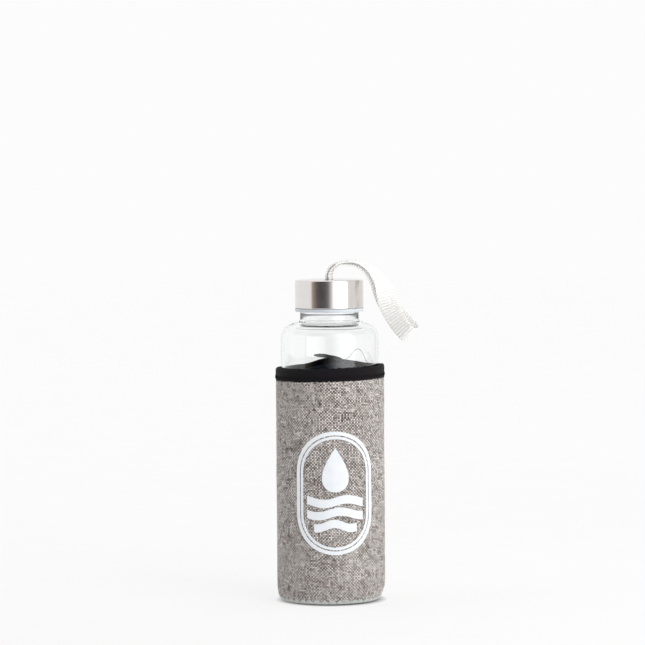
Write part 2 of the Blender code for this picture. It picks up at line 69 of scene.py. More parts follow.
BODY_RADIUS = 32.75
GLASS_WALL = 2.3
BASE_THICKNESS = 5.5
HEEL_RADIUS = 4.5
SHOULDER_Z = 175.5
SHOULDER_RADIUS = 11.0
SHOULDER_TURN = 80.0
NECK_RADIUS = 19.7
NECK_Z = 189.2
NECK_BORE = 16.6
BEAD_TOP = 196.6
FINISH_RADIUS = 18.9
RIM_Z = 206.7
THREAD_LEAD = 4.5
THREAD_START_Z = 199.2
THREAD_DEPTH = 1.5
THREAD_ROOT_HALF = 1.1
THREAD_CREST_HALF = 0.5
GLASS_THREAD = (0.0, 1.1)
LINER_THREAD = (0.3, 1.3)
LINER_THREAD_DEPTH = 1.4

CAP_RADIUS = 23.0
CAP_TOP = 215.0
SHELL_WALL = 0.6
SHELL_EDGE_RADIUS = 1.2
SHELL_BOTTOM = 196.2
LINER_RADIUS = 22.1
LINER_BORE = 20.8
LINER_TOP = 210.3
LINER_PLATE = 1.4
LINER_BOTTOM = 193.8
LIP_TOP = 195.9
PIN_RADIUS = 0.8
PIN_LENGTH = 19.0
PIN_Z = 212.6
SLOT_LENGTH = 16.2
SLOT_WIDTH = 4.6

STRAP_HEADING = -17.0
WEBBING_WIDTH = 13.0
WEBBING_THICKNESS = 0.9
LOOP_START = 218.6

SLEEVE_TOP = 157.0
BINDING_HEIGHT = 8.2
BINDING_INSIDE = 3.2
LINING_INNER = 33.05
LINING_OUTER = 35.1
LINING_BOTTOM = 5.2
FABRIC_OUTER = 36.2
BINDING_OUTER = 36.7
RIM_TILT = 0.8
SEAM_RISE = 3.4
SEAM_PEAK = 2.0
SEAM_SPREAD = (18.0, 11.0)
RISE_STARTS_Z = 120.0
FOLD_FULL_AT = 1.45  # where round the rim the binding's fold is fullest, in radians from -Y
FOLD_FULL_SPREAD = 0.30
TAIL_RADIUS = 34.7
STANDS_OFF = 0.32  # from the fabric's face to the seam thread's middle, and to the print's face

THREADS_ROUND = 216  # threads of the linen, counted round the sleeve
THREAD_PITCH = 2.0 * math.pi * FABRIC_OUTER / THREADS_ROUND
SHADE_SPREAD = 2.1  # how much the linen's threads differ in shade
WARP_TONE = -0.24
WEFT_TONE = -0.68
SPECK_SPREAD = 0.46  # and how much its crossings do
WARP_PITCH = 0.75  # of the webbing, as is RIB_PITCH
RIB_PITCH = 1.9
STITCH_COUNT = 60
HEM_TEETH = 42
HEM_STARTS = 9.0  # degrees under the heel's middle
HEM_REACH = 26.0
HEM_RADIUS = 6.85  # from the heel's middle, at the hem's top edge
HEM_CURL = 1.10  # how much nearer its cut edge is

PINCH = 0.15  # how far the sleeve's foot is drawn in all round
PINCH_STRAP_SIDE = 1.45  # and how much more on the strap's side
PINCH_Z = 3.0
PINCH_SPREAD = 5.0
LEAST_GAP = 0.32  # the share of its gap to the glass that a pinched place keeps

BADGE_WIDTH = 54.0
BADGE_HEIGHT = 82.0
BADGE_Z = 75.0

ROUND_STEPS = 256  # faces round the glass and the cap


# ---------------------------------------------------------------- shader helpers


class Shader:
    """A material whose nodes are added one call at a time.

    Inputs are numbers, tuples or other nodes' outputs.
    """

    def __init__(self, name):
        self.material = bpy.data.materials.new(name)
        self.material.use_nodes = True
        self.tree = self.material.node_tree
        self.principled = self.tree.nodes["Principled BSDF"]
        self.output = self.tree.nodes["Material Output"]

    def node(self, kind, inputs=(), **settings):
        made = self.tree.nodes.new("ShaderNode" + kind)
        for key, value in settings.items():
            setattr(made, key, value)
        for key, value in dict(inputs).items():
            self.feed(made.inputs[key], value)
        return made

    def feed(self, socket, value):
        if isinstance(value, bpy.types.NodeSocket):
            self.tree.links.new(value, socket)
        elif value is not None:
            if socket.type == "RGBA" and len(value) == 3:
                value = (*value, 1.0)
            socket.default_value = value

    def set(self, **inputs):
        """Sets or links the Principled shader's inputs, with _ for a space."""
        for key, value in inputs.items():
            self.feed(self.principled.inputs[key.replace("_", " ")], value)

    def math(self, operation, *values, clamp=False):
        made = self.node("Math", enumerate(values), operation=operation, use_clamp=clamp)
        return made.outputs[0]

    def add(self, first, second):
        return self.math("ADD", first, second)

    def mul(self, first, second, clamp=False):
        return self.math("MULTIPLY", first, second, clamp=clamp)

    def mad(self, value, scale, shift, clamp=False):
        """The value times the scale, plus the shift."""
        return self.math("MULTIPLY_ADD", value, scale, shift, clamp=clamp)

    def ramp(self, value, stops):
        made = self.node("ValToRGB", {"Fac": value})
        elements = made.color_ramp.elements
        while len(elements) < len(stops):
            elements.new(0.5)
        for element, (place, colour) in zip(elements, stops):
            element.position = place
            element.color = (*colour, 1.0) if len(colour) == 3 else colour
        return made.outputs["Color"]

    def blend(self, share, first, second):
        made = self.node("Mix", data_type="RGBA")
        self.feed(made.inputs["Factor"], share)
        self.feed(made.inputs["A"], first)
        self.feed(made.inputs["B"], second)
        return made.outputs["Result"]

    def vector(self, x, y, z=0.0):
        return self.node("CombineXYZ", {0: x, 1: y, 2: z}).outputs[0]

    def noise(self, where, scale, detail=2.0, roughness=0.5):
        inputs = {"Vector": where, "Scale": scale, "Detail": detail, "Roughness": roughness}
        return self.node("TexNoise", inputs).outputs["Fac"]

    def place(self):
        """X, Y and Z of the object's own coordinates, in millimetres."""
        where = self.node("TexCoord").outputs["Object"]
        scaled = self.node("VectorMath", {0: where, 3: 1.0 / MM}, operation="SCALE").outputs[0]
        return scaled, self.node("SeparateXYZ", {0: scaled}).outputs

    def polar(self, x, y):
        """The distance from the Z axis, and the angle round it from -Y."""
        away = self.math("SQRT", self.add(self.mul(x, x), self.mul(y, y)))
        return away, self.math("ARCTAN2", x, self.mul(y, -1.0))

    def round_z(self, radius):
        """The distance round the Z axis from -Y, at this radius, and the height, in millimetres."""
        _, (x, y, z) = self.place()
        return self.mul(self.polar(x, y)[1], radius), z

    def uv(self):
        """The piece's own map: across and along it, in millimetres."""
        where = self.node("TexCoord").outputs["UV"]
        out = self.node("SeparateXYZ", {0: where}).outputs
        return out[0], out[1]

    def bump(self, height, distance_mm, strength):
        made = self.node("Bump", {"Height": height, "Distance": distance_mm * MM, "Strength": strength})
        return made.outputs["Normal"]


def wave(shader, value, pitch):
    """0 to 1 and back over each pitch."""
    turns = shader.mul(value, 2.0 * math.pi / pitch)
    return shader.mad(shader.math("COSINE", turns), -0.5, 0.5)


# ---------------------------------------------------------------- materials


def glass_material():
    """Pale soda-lime glass: it shows its green only where it is seen through a long way."""
    s = Shader("glass")
    where, _ = s.place()
    ripple = s.noise(s.node("Mapping", {0: where, "Scale": (0.05, 0.05, 0.02)}).outputs[0], 1.0, 1.0)
    s.set(Base_Color=(1.0, 1.0, 1.0), Roughness=0.0, IOR=1.5, Transmission_Weight=1.0)
    s.set(Normal=s.bump(ripple, 0.5, 0.08))
    absorb = s.node("VolumeAbsorption", {"Color": (0.70, 0.90, 0.875), "Density": 16.0})
    s.tree.links.new(absorb.outputs[0], s.output.inputs["Volume"])
    return s.material


def steel_material():
    """Brushed stainless steel. The brush went round the cap's side and in rings over its top."""
    s = Shader("brushed_steel")
    _, (x, y, z) = s.place()
    radius, angle = s.polar(x, y)
    upward = s.node("SeparateXYZ", {0: s.node("NewGeometry").outputs["Normal"]}).outputs[2]
    on_top = s.math("GREATER_THAN", upward, 0.7)
    across = s.node("Mix", {0: on_top, 2: z, 3: radius}).outputs[0]
    fine = s.noise(s.vector(s.mul(angle, 1.1), s.mul(across, 16.0)), 1.0, 3.0, 0.7)
    broad = s.noise(s.vector(s.mul(angle, 0.5), s.mul(across, 5.0), 7.0), 1.0, 2.0)
    grain = s.mad(fine, 0.75, s.mul(broad, 0.25))
    s.set(Base_Color=s.ramp(grain, [(0.3, (0.64, 0.61, 0.59)), (0.7, (0.88, 0.85, 0.83))]))
    limits = {"From Min": 0.3, "From Max": 0.7, "To Min": 0.15, "To Max": 0.24}
    rough = s.node("MapRange", {"Value": grain, **limits})
    s.set(Metallic=1.0, Roughness=rough.outputs[0], Anisotropic=0.75, Anisotropic_Rotation=0.25)
    s.feed(s.principled.inputs["Tangent"], s.node("Tangent", direction_type="RADIAL", axis="Z").outputs[0])
    s.set(Normal=s.bump(grain, 0.016, 0.8))
    return s.material


def pin_material():
    s = Shader("pin_steel")
    where, _ = s.place()
    grain = s.noise(where, 1.7, 4.0, 0.6)
    s.set(Base_Color=s.ramp(grain, [(0.3, (0.52, 0.51, 0.50)), (0.7, (0.66, 0.65, 0.64))]))
    s.set(Metallic=1.0, Roughness=s.mad(grain, 0.2, 0.18))
    return s.material


def plastic_material():
    """The cap's moulded liner: milky polypropylene with a fine eroded texture."""
    s = Shader("liner_plastic")
    where, _ = s.place()
    cloud = s.noise(where, 0.12, 3.0)
    fine = s.noise(where, 6.0, 3.0, 0.65)
    s.set(Base_Color=s.ramp(cloud, [(0.3, (0.64, 0.675, 0.73)), (0.7, (0.70, 0.735, 0.78))]))
    s.set(Roughness=s.mad(fine, 0.18, 0.30), IOR=1.49)
    s.set(Subsurface_Weight=0.25, Subsurface_Radius=(0.9, 0.95, 1.0), Subsurface_Scale=0.0015)
    s.set(Normal=s.bump(fine, 0.02, 0.5))
    return s.material


def silicone_material():
    s = Shader("silicone")
    where, _ = s.place()
    cloud = s.noise(where, 0.3, 2.0)
    fine = s.noise(where, 9.0, 2.0)
    s.set(Base_Color=s.ramp(cloud, [(0.3, (0.74, 0.75, 0.75)), (0.7, (0.82, 0.83, 0.83))]))
    s.set(Roughness=s.mad(fine, 0.15, 0.42), Subsurface_Weight=0.5)
    s.set(Subsurface_Radius=(1.0, 1.0, 1.0), Subsurface_Scale=0.001, Normal=s.bump(fine, 0.01, 0.4))
    return s.material


def webbing_material():
    """White polyester webbing: ribs across it, warp yarns along it, with painted shade greying its hollows.
    """
    s = Shader("webbing")
    across, along = s.uv()
    yarns = wave(s, across, WARP_PITCH)
    rib = wave(s, along, RIB_PITCH)
    # Neighbouring yarns pass over the ribs in turn.
    over = wave(s, s.mad(across, RIB_PITCH / WARP_PITCH, along), 2.0 * RIB_PITCH)
    fibre = s.noise(s.vector(s.mul(across, 9.0), s.mul(along, 0.8)), 1.0, 3.0, 0.6)
    stain = s.noise(s.vector(across, along, 3.0), 0.09, 2.0)
    height = s.mad(yarns, 0.5, s.mad(over, 0.3, s.mul(fibre, 0.2)))
    # Painted shade: the hollows between the ribs are greyed and the crests are left white.
    hollow_shade = s.mad(rib, 0.95, s.mul(yarns, 0.05))
    shades = [(0.0, (0.72, 0.69, 0.63)), (0.35, (0.91, 0.905, 0.89)), (1.0, (0.965, 0.965, 0.955))]
    tint = s.ramp(hollow_shade, shades)
    s.set(Base_Color=s.blend(s.mul(stain, 0.12), tint, (0.90, 0.89, 0.87)))
    s.set(Roughness=s.mad(fibre, 0.2, 0.62), Sheen_Weight=0.25, Sheen_Roughness=0.4)
    s.set(Subsurface_Weight=0.5, Subsurface_Scale=0.002, Subsurface_Radius=(1.0, 1.0, 1.0))
    # Painted light: a faint glow that makes the white yarn brighter, standing for an optical brightener.
    s.set(Emission_Color=(0.96, 0.98, 1.0), Emission_Strength=0.05, Normal=s.bump(height, 0.03, 0.5))
    return s.material


def linen_weave(s, around, up):
    """A two-tone plain weave: its colour value from 0 (dark) to 1 (light), and its height from 0 to 1."""
    u = s.math("DIVIDE", around, THREAD_PITCH)
    v = s.math("DIVIDE", up, THREAD_PITCH)
    column, row = s.math("FLOOR", u), s.math("FLOOR", v)
    on_top = s.math("MODULO", s.math("ABSOLUTE", s.add(column, row)), 2.0)
    # Each thread has its own shade, which drifts along it in slubs.
    warp_shade = s.noise(s.vector(s.mul(column, 3.7), s.mul(v, 0.20)), 1.0, 2.0, 0.6)
    weft_shade = s.noise(s.vector(s.mul(u, 0.20), s.mul(row, 4.3), 5.0), 1.0, 2.0, 0.6)
    warp_colour = s.mad(warp_shade, SHADE_SPREAD, WARP_TONE)
    weft_colour = s.mad(weft_shade, SHADE_SPREAD, WEFT_TONE)
    colour = s.node("Mix", {0: on_top, 2: weft_colour, 3: warp_colour}).outputs[0]
    speck = s.node("TexWhiteNoise", {"Vector": s.vector(column, row)}, noise_dimensions="2D")
    colour = s.add(colour, s.mad(speck.outputs["Value"], SPECK_SPREAD, -SPECK_SPREAD / 2.0))
    across_warp = s.math("SINE", s.mul(s.math("FRACT", u), math.pi))
    across_weft = s.math("SINE", s.mul(s.math("FRACT", v), math.pi))
    crown = s.mul(across_warp, across_weft)
    fibre = s.noise(s.vector(around, up, 2.0), 7.0, 2.0, 0.7)
    height = s.mad(crown, 0.8, s.mul(fibre, 0.2))
    # Painted shade: the gaps between threads are darkened.
    shade = s.mad(s.math("POWER", crown, 0.5), 0.85, 0.15)
    lit = s.mul(colour, shade, clamp=True)
    return s.mad(fibre, 0.14, s.add(lit, -0.07), clamp=True), height


def linen_material():
    s = Shader("linen")
    up, around = s.uv()
    colour, height = linen_weave(s, around, up)
    patch = s.noise(s.vector(around, up, 11.0), 0.035, 2.0)
    colour = s.mad(s.add(patch, -0.5), 0.22, colour, clamp=True)
    shades = [
        (0.0, (0.035, 0.024, 0.020)),
        (0.28, (0.24, 0.205, 0.187)),
        (0.60, (0.64, 0.61, 0.585)),
        (1.0, (0.96, 0.945, 0.925)),
    ]
    s.set(Base_Color=s.ramp(colour, shades), Roughness=s.mad(height, -0.1, 0.92))
    s.set(Sheen_Weight=0.12, Sheen_Roughness=0.5, Specular_IOR_Level=0.25, Normal=s.bump(height, 0.16, 0.8))
    return s.material


def neoprene_material():
    """The lining's knitted face: fine wales up the tube, dark slate blue."""
    s = Shader("neoprene")
    around, up = s.round_z(LINING_INNER)
    wale = wave(s, around, 0.55)
    course = wave(s, up, 0.42)
    knit = s.mul(wale, s.mad(course, 0.5, 0.5))
    fuzz = s.noise(s.vector(around, up), 2.6, 3.0, 0.7)
    shade = s.mad(knit, 0.55, s.mul(fuzz, 0.45))
    s.set(Base_Color=s.ramp(shade, [(0.15, (0.018, 0.034, 0.060)), (0.85, (0.065, 0.105, 0.155))]))
    s.set(Roughness=0.9, Sheen_Weight=0.35, Sheen_Roughness=0.45, Sheen_Tint=(0.55, 0.68, 0.80, 1.0))
    s.set(Normal=s.bump(shade, 0.08, 0.7))
    return s.material


def binding_material():
    """Black knitted tape: close ribs across it, with a faint lint."""
    s = Shader("binding")
    across, along = s.uv()
    rib = wave(s, along, 0.62)
    loop = wave(s, s.mad(across, 1.0, s.mul(along, 0.5)), 0.8)
    lint = s.noise(s.vector(across, along), 1.8, 4.0, 0.75)
    shade = s.mad(rib, 0.4, s.mad(loop, 0.2, s.mul(lint, 0.4)))
    s.set(Base_Color=s.ramp(shade, [(0.2, (0.002, 0.0017, 0.0025)), (0.8, (0.013, 0.011, 0.013))]))
    s.set(Roughness=0.85, Sheen_Weight=0.03, Sheen_Roughness=0.5, Specular_IOR_Level=0.15)
    s.set(Normal=s.bump(shade, 0.10, 0.8))
    return s.material


def thread_material(name, dark, light, twist_pitch=0.9, sheen=0.2, specular=0.5):
    """Spun thread: its strands show as slanting stripes."""
    s = Shader(name)
    around, along = s.uv()
    strand = wave(s, s.add(along, s.mul(around, twist_pitch)), twist_pitch)
    fibre = s.noise(s.vector(around, along), 3.5, 3.0, 0.7)
    shade = s.mad(strand, 0.6, s.mul(fibre, 0.4))
    s.set(Base_Color=s.ramp(shade, [(0.15, dark), (0.8, light)]), Roughness=0.8)
    s.set(Sheen_Weight=sheen, Specular_IOR_Level=specular)
    s.set(Normal=s.bump(shade, 0.05, 0.8))
    return s.material


def print_material():
    """Heat-transfer film: bluish white, pressed into the weave, with a little cracking and wear."""
    s = Shader("print_film")
    around, up = s.round_z(FABRIC_OUTER)
    _, height = linen_weave(s, around, up)
    cloud = s.noise(s.vector(around, up, 4.0), 0.18, 3.0)
    pits = s.noise(s.vector(around, up, 8.0), 2.2, 3.0, 0.7)
    worn = s.ramp(s.mad(height, 0.35, s.mul(pits, 0.65)), [(0.22, (1, 1, 1)), (0.30, (0, 0, 0))])
    clean = s.ramp(cloud, [(0.25, (0.86, 0.90, 0.955)), (0.75, (0.93, 0.955, 0.985))])
    s.set(Base_Color=s.blend(s.mul(worn, 0.5), clean, (0.45, 0.44, 0.45)))
    s.set(Roughness=s.mad(pits, 0.2, 0.42), Normal=s.bump(height, 0.10, 0.9))
    return s.material


# ---------------------------------------------------------------- shape helpers


def placed(name, data):
    """A new object, put in the scene."""
    obj = bpy.data.objects.new(name, data)
    bpy.context.scene.collection.objects.link(obj)
    return obj


def unit(rows):
    """Each row of vectors, brought to length 1."""
    return rows / np.linalg.norm(rows, axis=1)[:, None]


def finish_mesh(name, points, faces, look, uv=None, sharp=40.0):
    """An object from points in millimetres, shaded smooth apart from its sharp edges."""
    mesh = bpy.data.meshes.new(name)
    mesh.from_pydata((np.asarray(points, float) * MM).tolist(), [], faces)
    if uv is not None:
        layer = mesh.uv_layers.new(name="map")
        corners = np.empty(len(mesh.loops), np.int32)
        mesh.loops.foreach_get("vertex_index", corners)
        layer.data.foreach_set("uv", np.asarray(uv, np.float32)[corners].ravel())
    mesh.materials.append(look)
    mesh.validate()
    mesh.shade_smooth()
    mesh.set_sharp_from_angle(angle=math.radians(sharp))
    return placed(name, mesh)


def grid_faces(rows, columns, wrap_rows=False, wrap_columns=True):
    """Quads over a grid of points, row by row."""
    faces = []
    for i in range(rows if wrap_rows else rows - 1):
        below = (i + 1) % rows
        for j in range(columns if wrap_columns else columns - 1):
            right = (j + 1) % columns
            faces.append((i * columns + j, below * columns + j, below * columns + right, i * columns + right))
    return faces


def arc(centre, radius, first, last, steps):
    """Points of (radius, z) on an arc, from one angle to another, in degrees."""
    angles = np.radians(np.linspace(first, last, steps + 1))
    return [(centre[0] + radius * math.cos(a), centre[1] + radius * math.sin(a)) for a in angles]


def line(*points, step=1.0):
    """Points along straight runs, about a step apart."""
    out = [points[0]]
    for a, b in zip(points, points[1:]):
        count = max(1, round(math.dist(a, b) / step))
        out += [tuple(p + (q - p) * i / count for p, q in zip(a, b)) for i in range(1, count + 1)]
    return out


def close_map(mesh, whole):
    """Where a map runs on past its end, the last column's corners take the next turn's values."""
    quads = [p.loop_start for p in mesh.polygons if p.loop_total == 4]
    layer = mesh.uv_layers["map"].data
    flat = np.empty(len(layer) * 2, np.float32)
    layer.foreach_get("uv", flat)
    values = flat.reshape(-1, 2)
    corners = np.array(quads)[:, None] + np.arange(4)
    turn = values[corners, 1]
    crossing = (turn.max(1) - turn.min(1)) > whole / 2.0
    values[corners, 1] = np.where(crossing[:, None] & (turn < whole / 2.0), turn + whole, turn)
    layer.foreach_set("uv", values.ravel())


def lathe(name, profile, look, segments=192, shape=None, sharp=40.0, level_map=False):
    """Turns a profile of (radius, z) about Z. It closes on itself, or ends on the axis at both ends.

    shape takes arrays of angle, radius and z, and returns changed radius and z, after a changed angle if it
    moves that too. Angles start at -Y. The map is the length along the profile, or z if level_map, and the
    distance round at the fabric's radius.
    """
    on_axis = profile[0][0] == 0.0
    body = profile[1:-1] if on_axis else profile
    angle = np.linspace(0.0, 2.0 * math.pi, segments, endpoint=False)
    radius = np.repeat(np.array([p[0] for p in body])[:, None], segments, 1)
    height = np.repeat(np.array([p[1] for p in body])[:, None], segments, 1)
    level = height
    turned = np.broadcast_to(angle, radius.shape)
    if shape:
        *moved, radius, height = shape(turned, radius, height)
        turned = moved[0] if moved else turned
    points = np.stack([radius * np.sin(turned), -radius * np.cos(turned), height], -1).reshape(-1, 3)
    faces = grid_faces(len(body), segments, wrap_rows=not on_axis)
    if on_axis:
        first, last = len(points), len(points) + 1
        points = np.vstack([points, [(0.0, 0.0, profile[0][1]), (0.0, 0.0, profile[-1][1])]])
        row = (len(body) - 1) * segments
        for j in range(segments):
            k = (j + 1) % segments
            faces.append((first, j, k))
            faces.append((row + j, last, row + k))
    lengths = np.r_[0.0, np.cumsum([math.dist(a, b) for a, b in zip(body, body[1:])])]
    down = level if level_map else np.repeat(lengths[:, None], segments, 1)
    uv = np.stack([down, np.broadcast_to(angle * FABRIC_OUTER, radius.shape)], -1).reshape(-1, 2)
    if on_axis:
        uv = np.vstack([uv, [(0.0, 0.0), (lengths[-1], 0.0)]])
    obj = finish_mesh(name, points, faces, look, uv, sharp)
    close_map(obj.data, 2.0 * math.pi * FABRIC_OUTER)
    return obj


def frames_along(path, closed):
    """Unit tangents, and two unit vectors across them that turn as little as they can."""
    path = np.asarray(path, float)
    if closed:
        tangent = np.roll(path, -1, 0) - np.roll(path, 1, 0)
    else:
        tangent = np.gradient(path, axis=0)
    tangent = unit(tangent)
    side = np.cross(tangent[0], (0.13, 0.21, 0.97))
    sides = []
    for t in tangent:
        side = side - t * np.dot(side, t)
        side /= np.linalg.norm(side)
        sides.append(side)
    sides = np.array(sides)
    return tangent, sides, np.cross(tangent, sides)


def tube(path, radius, sides=6, closed=False):
    """Points, faces and a map for a round thread along a path. Open ends are closed by a point."""
    path = np.asarray(path, float)
    _, first, second = frames_along(path, closed)
    count = len(path)
    around = np.linspace(0.0, 2.0 * math.pi, sides, endpoint=False)
    ring = first[:, None, :] * np.cos(around)[None, :, None]
    ring = ring + second[:, None, :] * np.sin(around)[None, :, None]
    points = (path[:, None, :] + ring * radius).reshape(-1, 3)
    faces = [f[::-1] for f in grid_faces(count, sides, wrap_rows=closed)]
    along = np.r_[0.0, np.cumsum(np.linalg.norm(np.diff(path, axis=0), axis=1))]
    turns = np.broadcast_to(around / (2 * math.pi), (count, sides))
    uv = np.stack([turns, np.repeat(along[:, None], sides, 1)], -1).reshape(-1, 2)
    if not closed:
        tangent = path[0] - path[1], path[-1] - path[-2]
        ends = [p + t / np.linalg.norm(t) * radius * 0.5 for p, t in zip((path[0], path[-1]), tangent)]
        start, stop = len(points), len(points) + 1
        points = np.vstack([points, ends])
        uv = np.vstack([uv, [(0.0, 0.0), (0.0, along[-1])]])
        last = (count - 1) * sides
        for j in range(sides):
            k = (j + 1) % sides
            faces.append((start, k, j))
            faces.append((stop, last + j, last + k))
    return points, faces, uv


def tubes(name, parts, look):
    """One object from several tubes."""
    points, faces, maps, base = [], [], [], 0
    for part_points, part_faces, part_uv in parts:
        points.append(part_points)
        maps.append(part_uv)
        faces += [tuple(i + base for i in face) for face in part_faces]
        base += len(part_points)
    return finish_mesh(name, np.vstack(points), faces, look, np.vstack(maps), sharp=80.0)


def smooth_line(points, step):
    """A Catmull-Rom curve through points of any dimension, sampled about every step."""
    ends = [points[0]] + list(points) + [points[-1]]
    out = []
    for a, b, c, d in zip(ends, ends[1:], ends[2:], ends[3:]):
        a, b, c, d = (np.asarray(p, float) for p in (a, b, c, d))
        count = max(1, round(float(np.linalg.norm((c - b)[:2])) / step))
        for i in range(count):
            t = i / count
            square, cube = 2 * a - 5 * b + 4 * c - d, 3 * b - a - 3 * c + d
            out.append((2 * b + (c - a) * t + square * t * t + cube * t ** 3) / 2)
    return out + [np.asarray(points[-1], float)]


def put(obj, body, slot, *nodes):
    """The piece rides on a body and stands for CAD nodes. Its slot is not used."""
    if nodes:
        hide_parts(*nodes)
    if body:
        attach(obj, body)
    return obj


def rough_noise(x, y, z):
    """Smooth noise from -1 to 1 at arrays of points."""
    flat = [noise.noise(Vector(p)) for p in zip(np.ravel(x), np.ravel(y), np.ravel(z))]
    return np.array(flat).reshape(np.shape(x))


# ---------------------------------------------------------------- glass bottle


def thread_height(angle, z, turns, z_shift, depth):
    """How far a helical ridge stands at each angle, measured from +X, and height."""
    best = np.zeros(np.shape(angle))
    turn_at = np.mod(angle / (2.0 * math.pi), 1.0)
    for k in (0, 1):
        turn = turn_at + k
        inside = np.clip(np.minimum(turn - turns[0], turns[1] - turn) * 12.0, 0.0, 1.0)
        away = np.abs(z - (THREAD_START_Z + z_shift + THREAD_LEAD * turn))
        flank = np.clip((THREAD_ROOT_HALF - away) / (THREAD_ROOT_HALF - THREAD_CREST_HALF), 0.0, 1.0)
        rounded = flank * flank * (3.0 - 2.0 * flank)
        best = np.maximum(best, depth * rounded * inside)
    return best


def from_x(angle):
    """An angle measured from -Y, as one measured from +X."""
    return angle - math.pi / 2.0


def glass_shape(angle, radius, z):
    outside = radius > FINISH_RADIUS - 0.2
    ridge = thread_height(from_x(angle), z, GLASS_THREAD, 0.0, THREAD_DEPTH)
    in_finish = (z > BEAD_TOP) & outside
    radius = radius + np.where(in_finish, ridge, 0.0)
    # The inside of a blown bottle is a little uneven.
    inside = (radius < BODY_RADIUS - GLASS_WALL + 0.1) & (z > BASE_THICKNESS + 4.0) & (z < NECK_Z)
    wobble = 0.03 * rough_noise(np.sin(angle) * 1.3, np.cos(angle) * 1.3, z * 0.022)
    return radius + np.where(inside, wobble, 0.0), z


def shoulder(offset, steps):
    centre = (BODY_RADIUS - SHOULDER_RADIUS, SHOULDER_Z)
    return arc(centre, SHOULDER_RADIUS - offset, SHOULDER_TURN, 0.0, steps)


def glass_bottle():
    inner_heel = 6.0
    inner_radius = BODY_RADIUS - GLASS_WALL
    floor = line((0.0, BASE_THICKNESS), (inner_radius - inner_heel - 0.5, BASE_THICKNESS), step=4.0)
    floor += arc((inner_radius - inner_heel, BASE_THICKNESS + inner_heel), inner_heel, -90.0, 0.0, 14)
    inside = line(floor[-1], (inner_radius, SHOULDER_Z - 0.5), step=4.0)[1:]
    inside += shoulder(GLASS_WALL, 16)[::-1]
    throat = smooth_line([inside[-1], (21.6, 184.5), (19.4, 185.4), (17.8, 187.2), (NECK_BORE, 192.5)], 0.4)
    inside += [tuple(p) for p in throat[1:]]
    inside += line(inside[-1], (NECK_BORE, RIM_Z - 0.8), step=1.5)[1:]
    rim = arc((NECK_BORE + 0.8, RIM_Z - 0.8), 0.8, 180.0, 90.0, 5)
    rim += arc((FINISH_RADIUS - 0.8, RIM_Z - 0.8), 0.8, 90.0, 0.0, 5)
    finish = line((FINISH_RADIUS, RIM_Z - 1.2), (FINISH_RADIUS, BEAD_TOP + 0.8), step=0.22)
    bead = arc((NECK_RADIUS - 0.6, BEAD_TOP - 0.6), 0.6, 90.0, 0.0, 5)
    neck = line((NECK_RADIUS, BEAD_TOP - 1.0), (NECK_RADIUS, NECK_Z), step=0.8)
    outer_shoulder = shoulder(0.0, 16)
    flare = smooth_line([neck[-1], (19.85, 188.2), (20.5, 187.2), (21.8, 186.6), outer_shoulder[0]], 0.4)
    outside = [tuple(p) for p in flare[1:-1]] + outer_shoulder
    wall = line((BODY_RADIUS, SHOULDER_Z - 0.5), (BODY_RADIUS, HEEL_RADIUS + 0.4), step=4.0)
    heel = arc((BODY_RADIUS - HEEL_RADIUS, HEEL_RADIUS), HEEL_RADIUS, 0.0, -90.0, 12)
    base = line((BODY_RADIUS - HEEL_RADIUS - 0.4, 0.0), (0.0, 0.0), step=4.0)
    profile = floor + inside + rim + finish + bead + neck + outside + wall + heel + base
    obj = lathe("glass_bottle_clear", profile, glass_material(), ROUND_STEPS, glass_shape)
    return put(obj, "bottle", "glass", "glass_bottle")


# ---------------------------------------------------------------- cap


def strap_axes():
    """Unit vectors across the slot, along it, and up. The strap leans over in the first direction."""
    heading = math.radians(STRAP_HEADING)
    across = np.array([math.cos(heading), math.sin(heading), 0.0])
    along = np.array([-math.sin(heading), math.cos(heading), 0.0])
    return across, along, np.array([0.0, 0.0, 1.0])


def slot_cutter():
    """A slot with round ends, as a solid to cut the steel with."""
    end = SLOT_WIDTH / 2.0
    half = SLOT_LENGTH / 2.0 - end
    outline = arc((half, 0.0), end, -90.0, 90.0, 14) + arc((-half, 0.0), end, 90.0, 270.0, 14)
    across, along, _ = strap_axes()
    flat = [along * a + across * b for a, b in outline]
    points = [p + np.array([0.0, 0.0, z]) for z in (CAP_TOP - 3.0, CAP_TOP + 3.0) for p in flat]
    count = len(outline)
    faces = [(i, (i + 1) % count, count + (i + 1) % count, count + i) for i in range(count)]
    faces += [tuple(range(count))[::-1], tuple(range(count, 2 * count))]
    cutter = finish_mesh("slot_cutter", points, faces, bpy.data.materials.new("cutter"))
    volume = sum(np.linalg.det([points[f[0]], points[f[1]], points[f[2]]]) for f in faces[:count])
    if volume < 0.0:
        cutter.data.flip_normals()
    return cutter


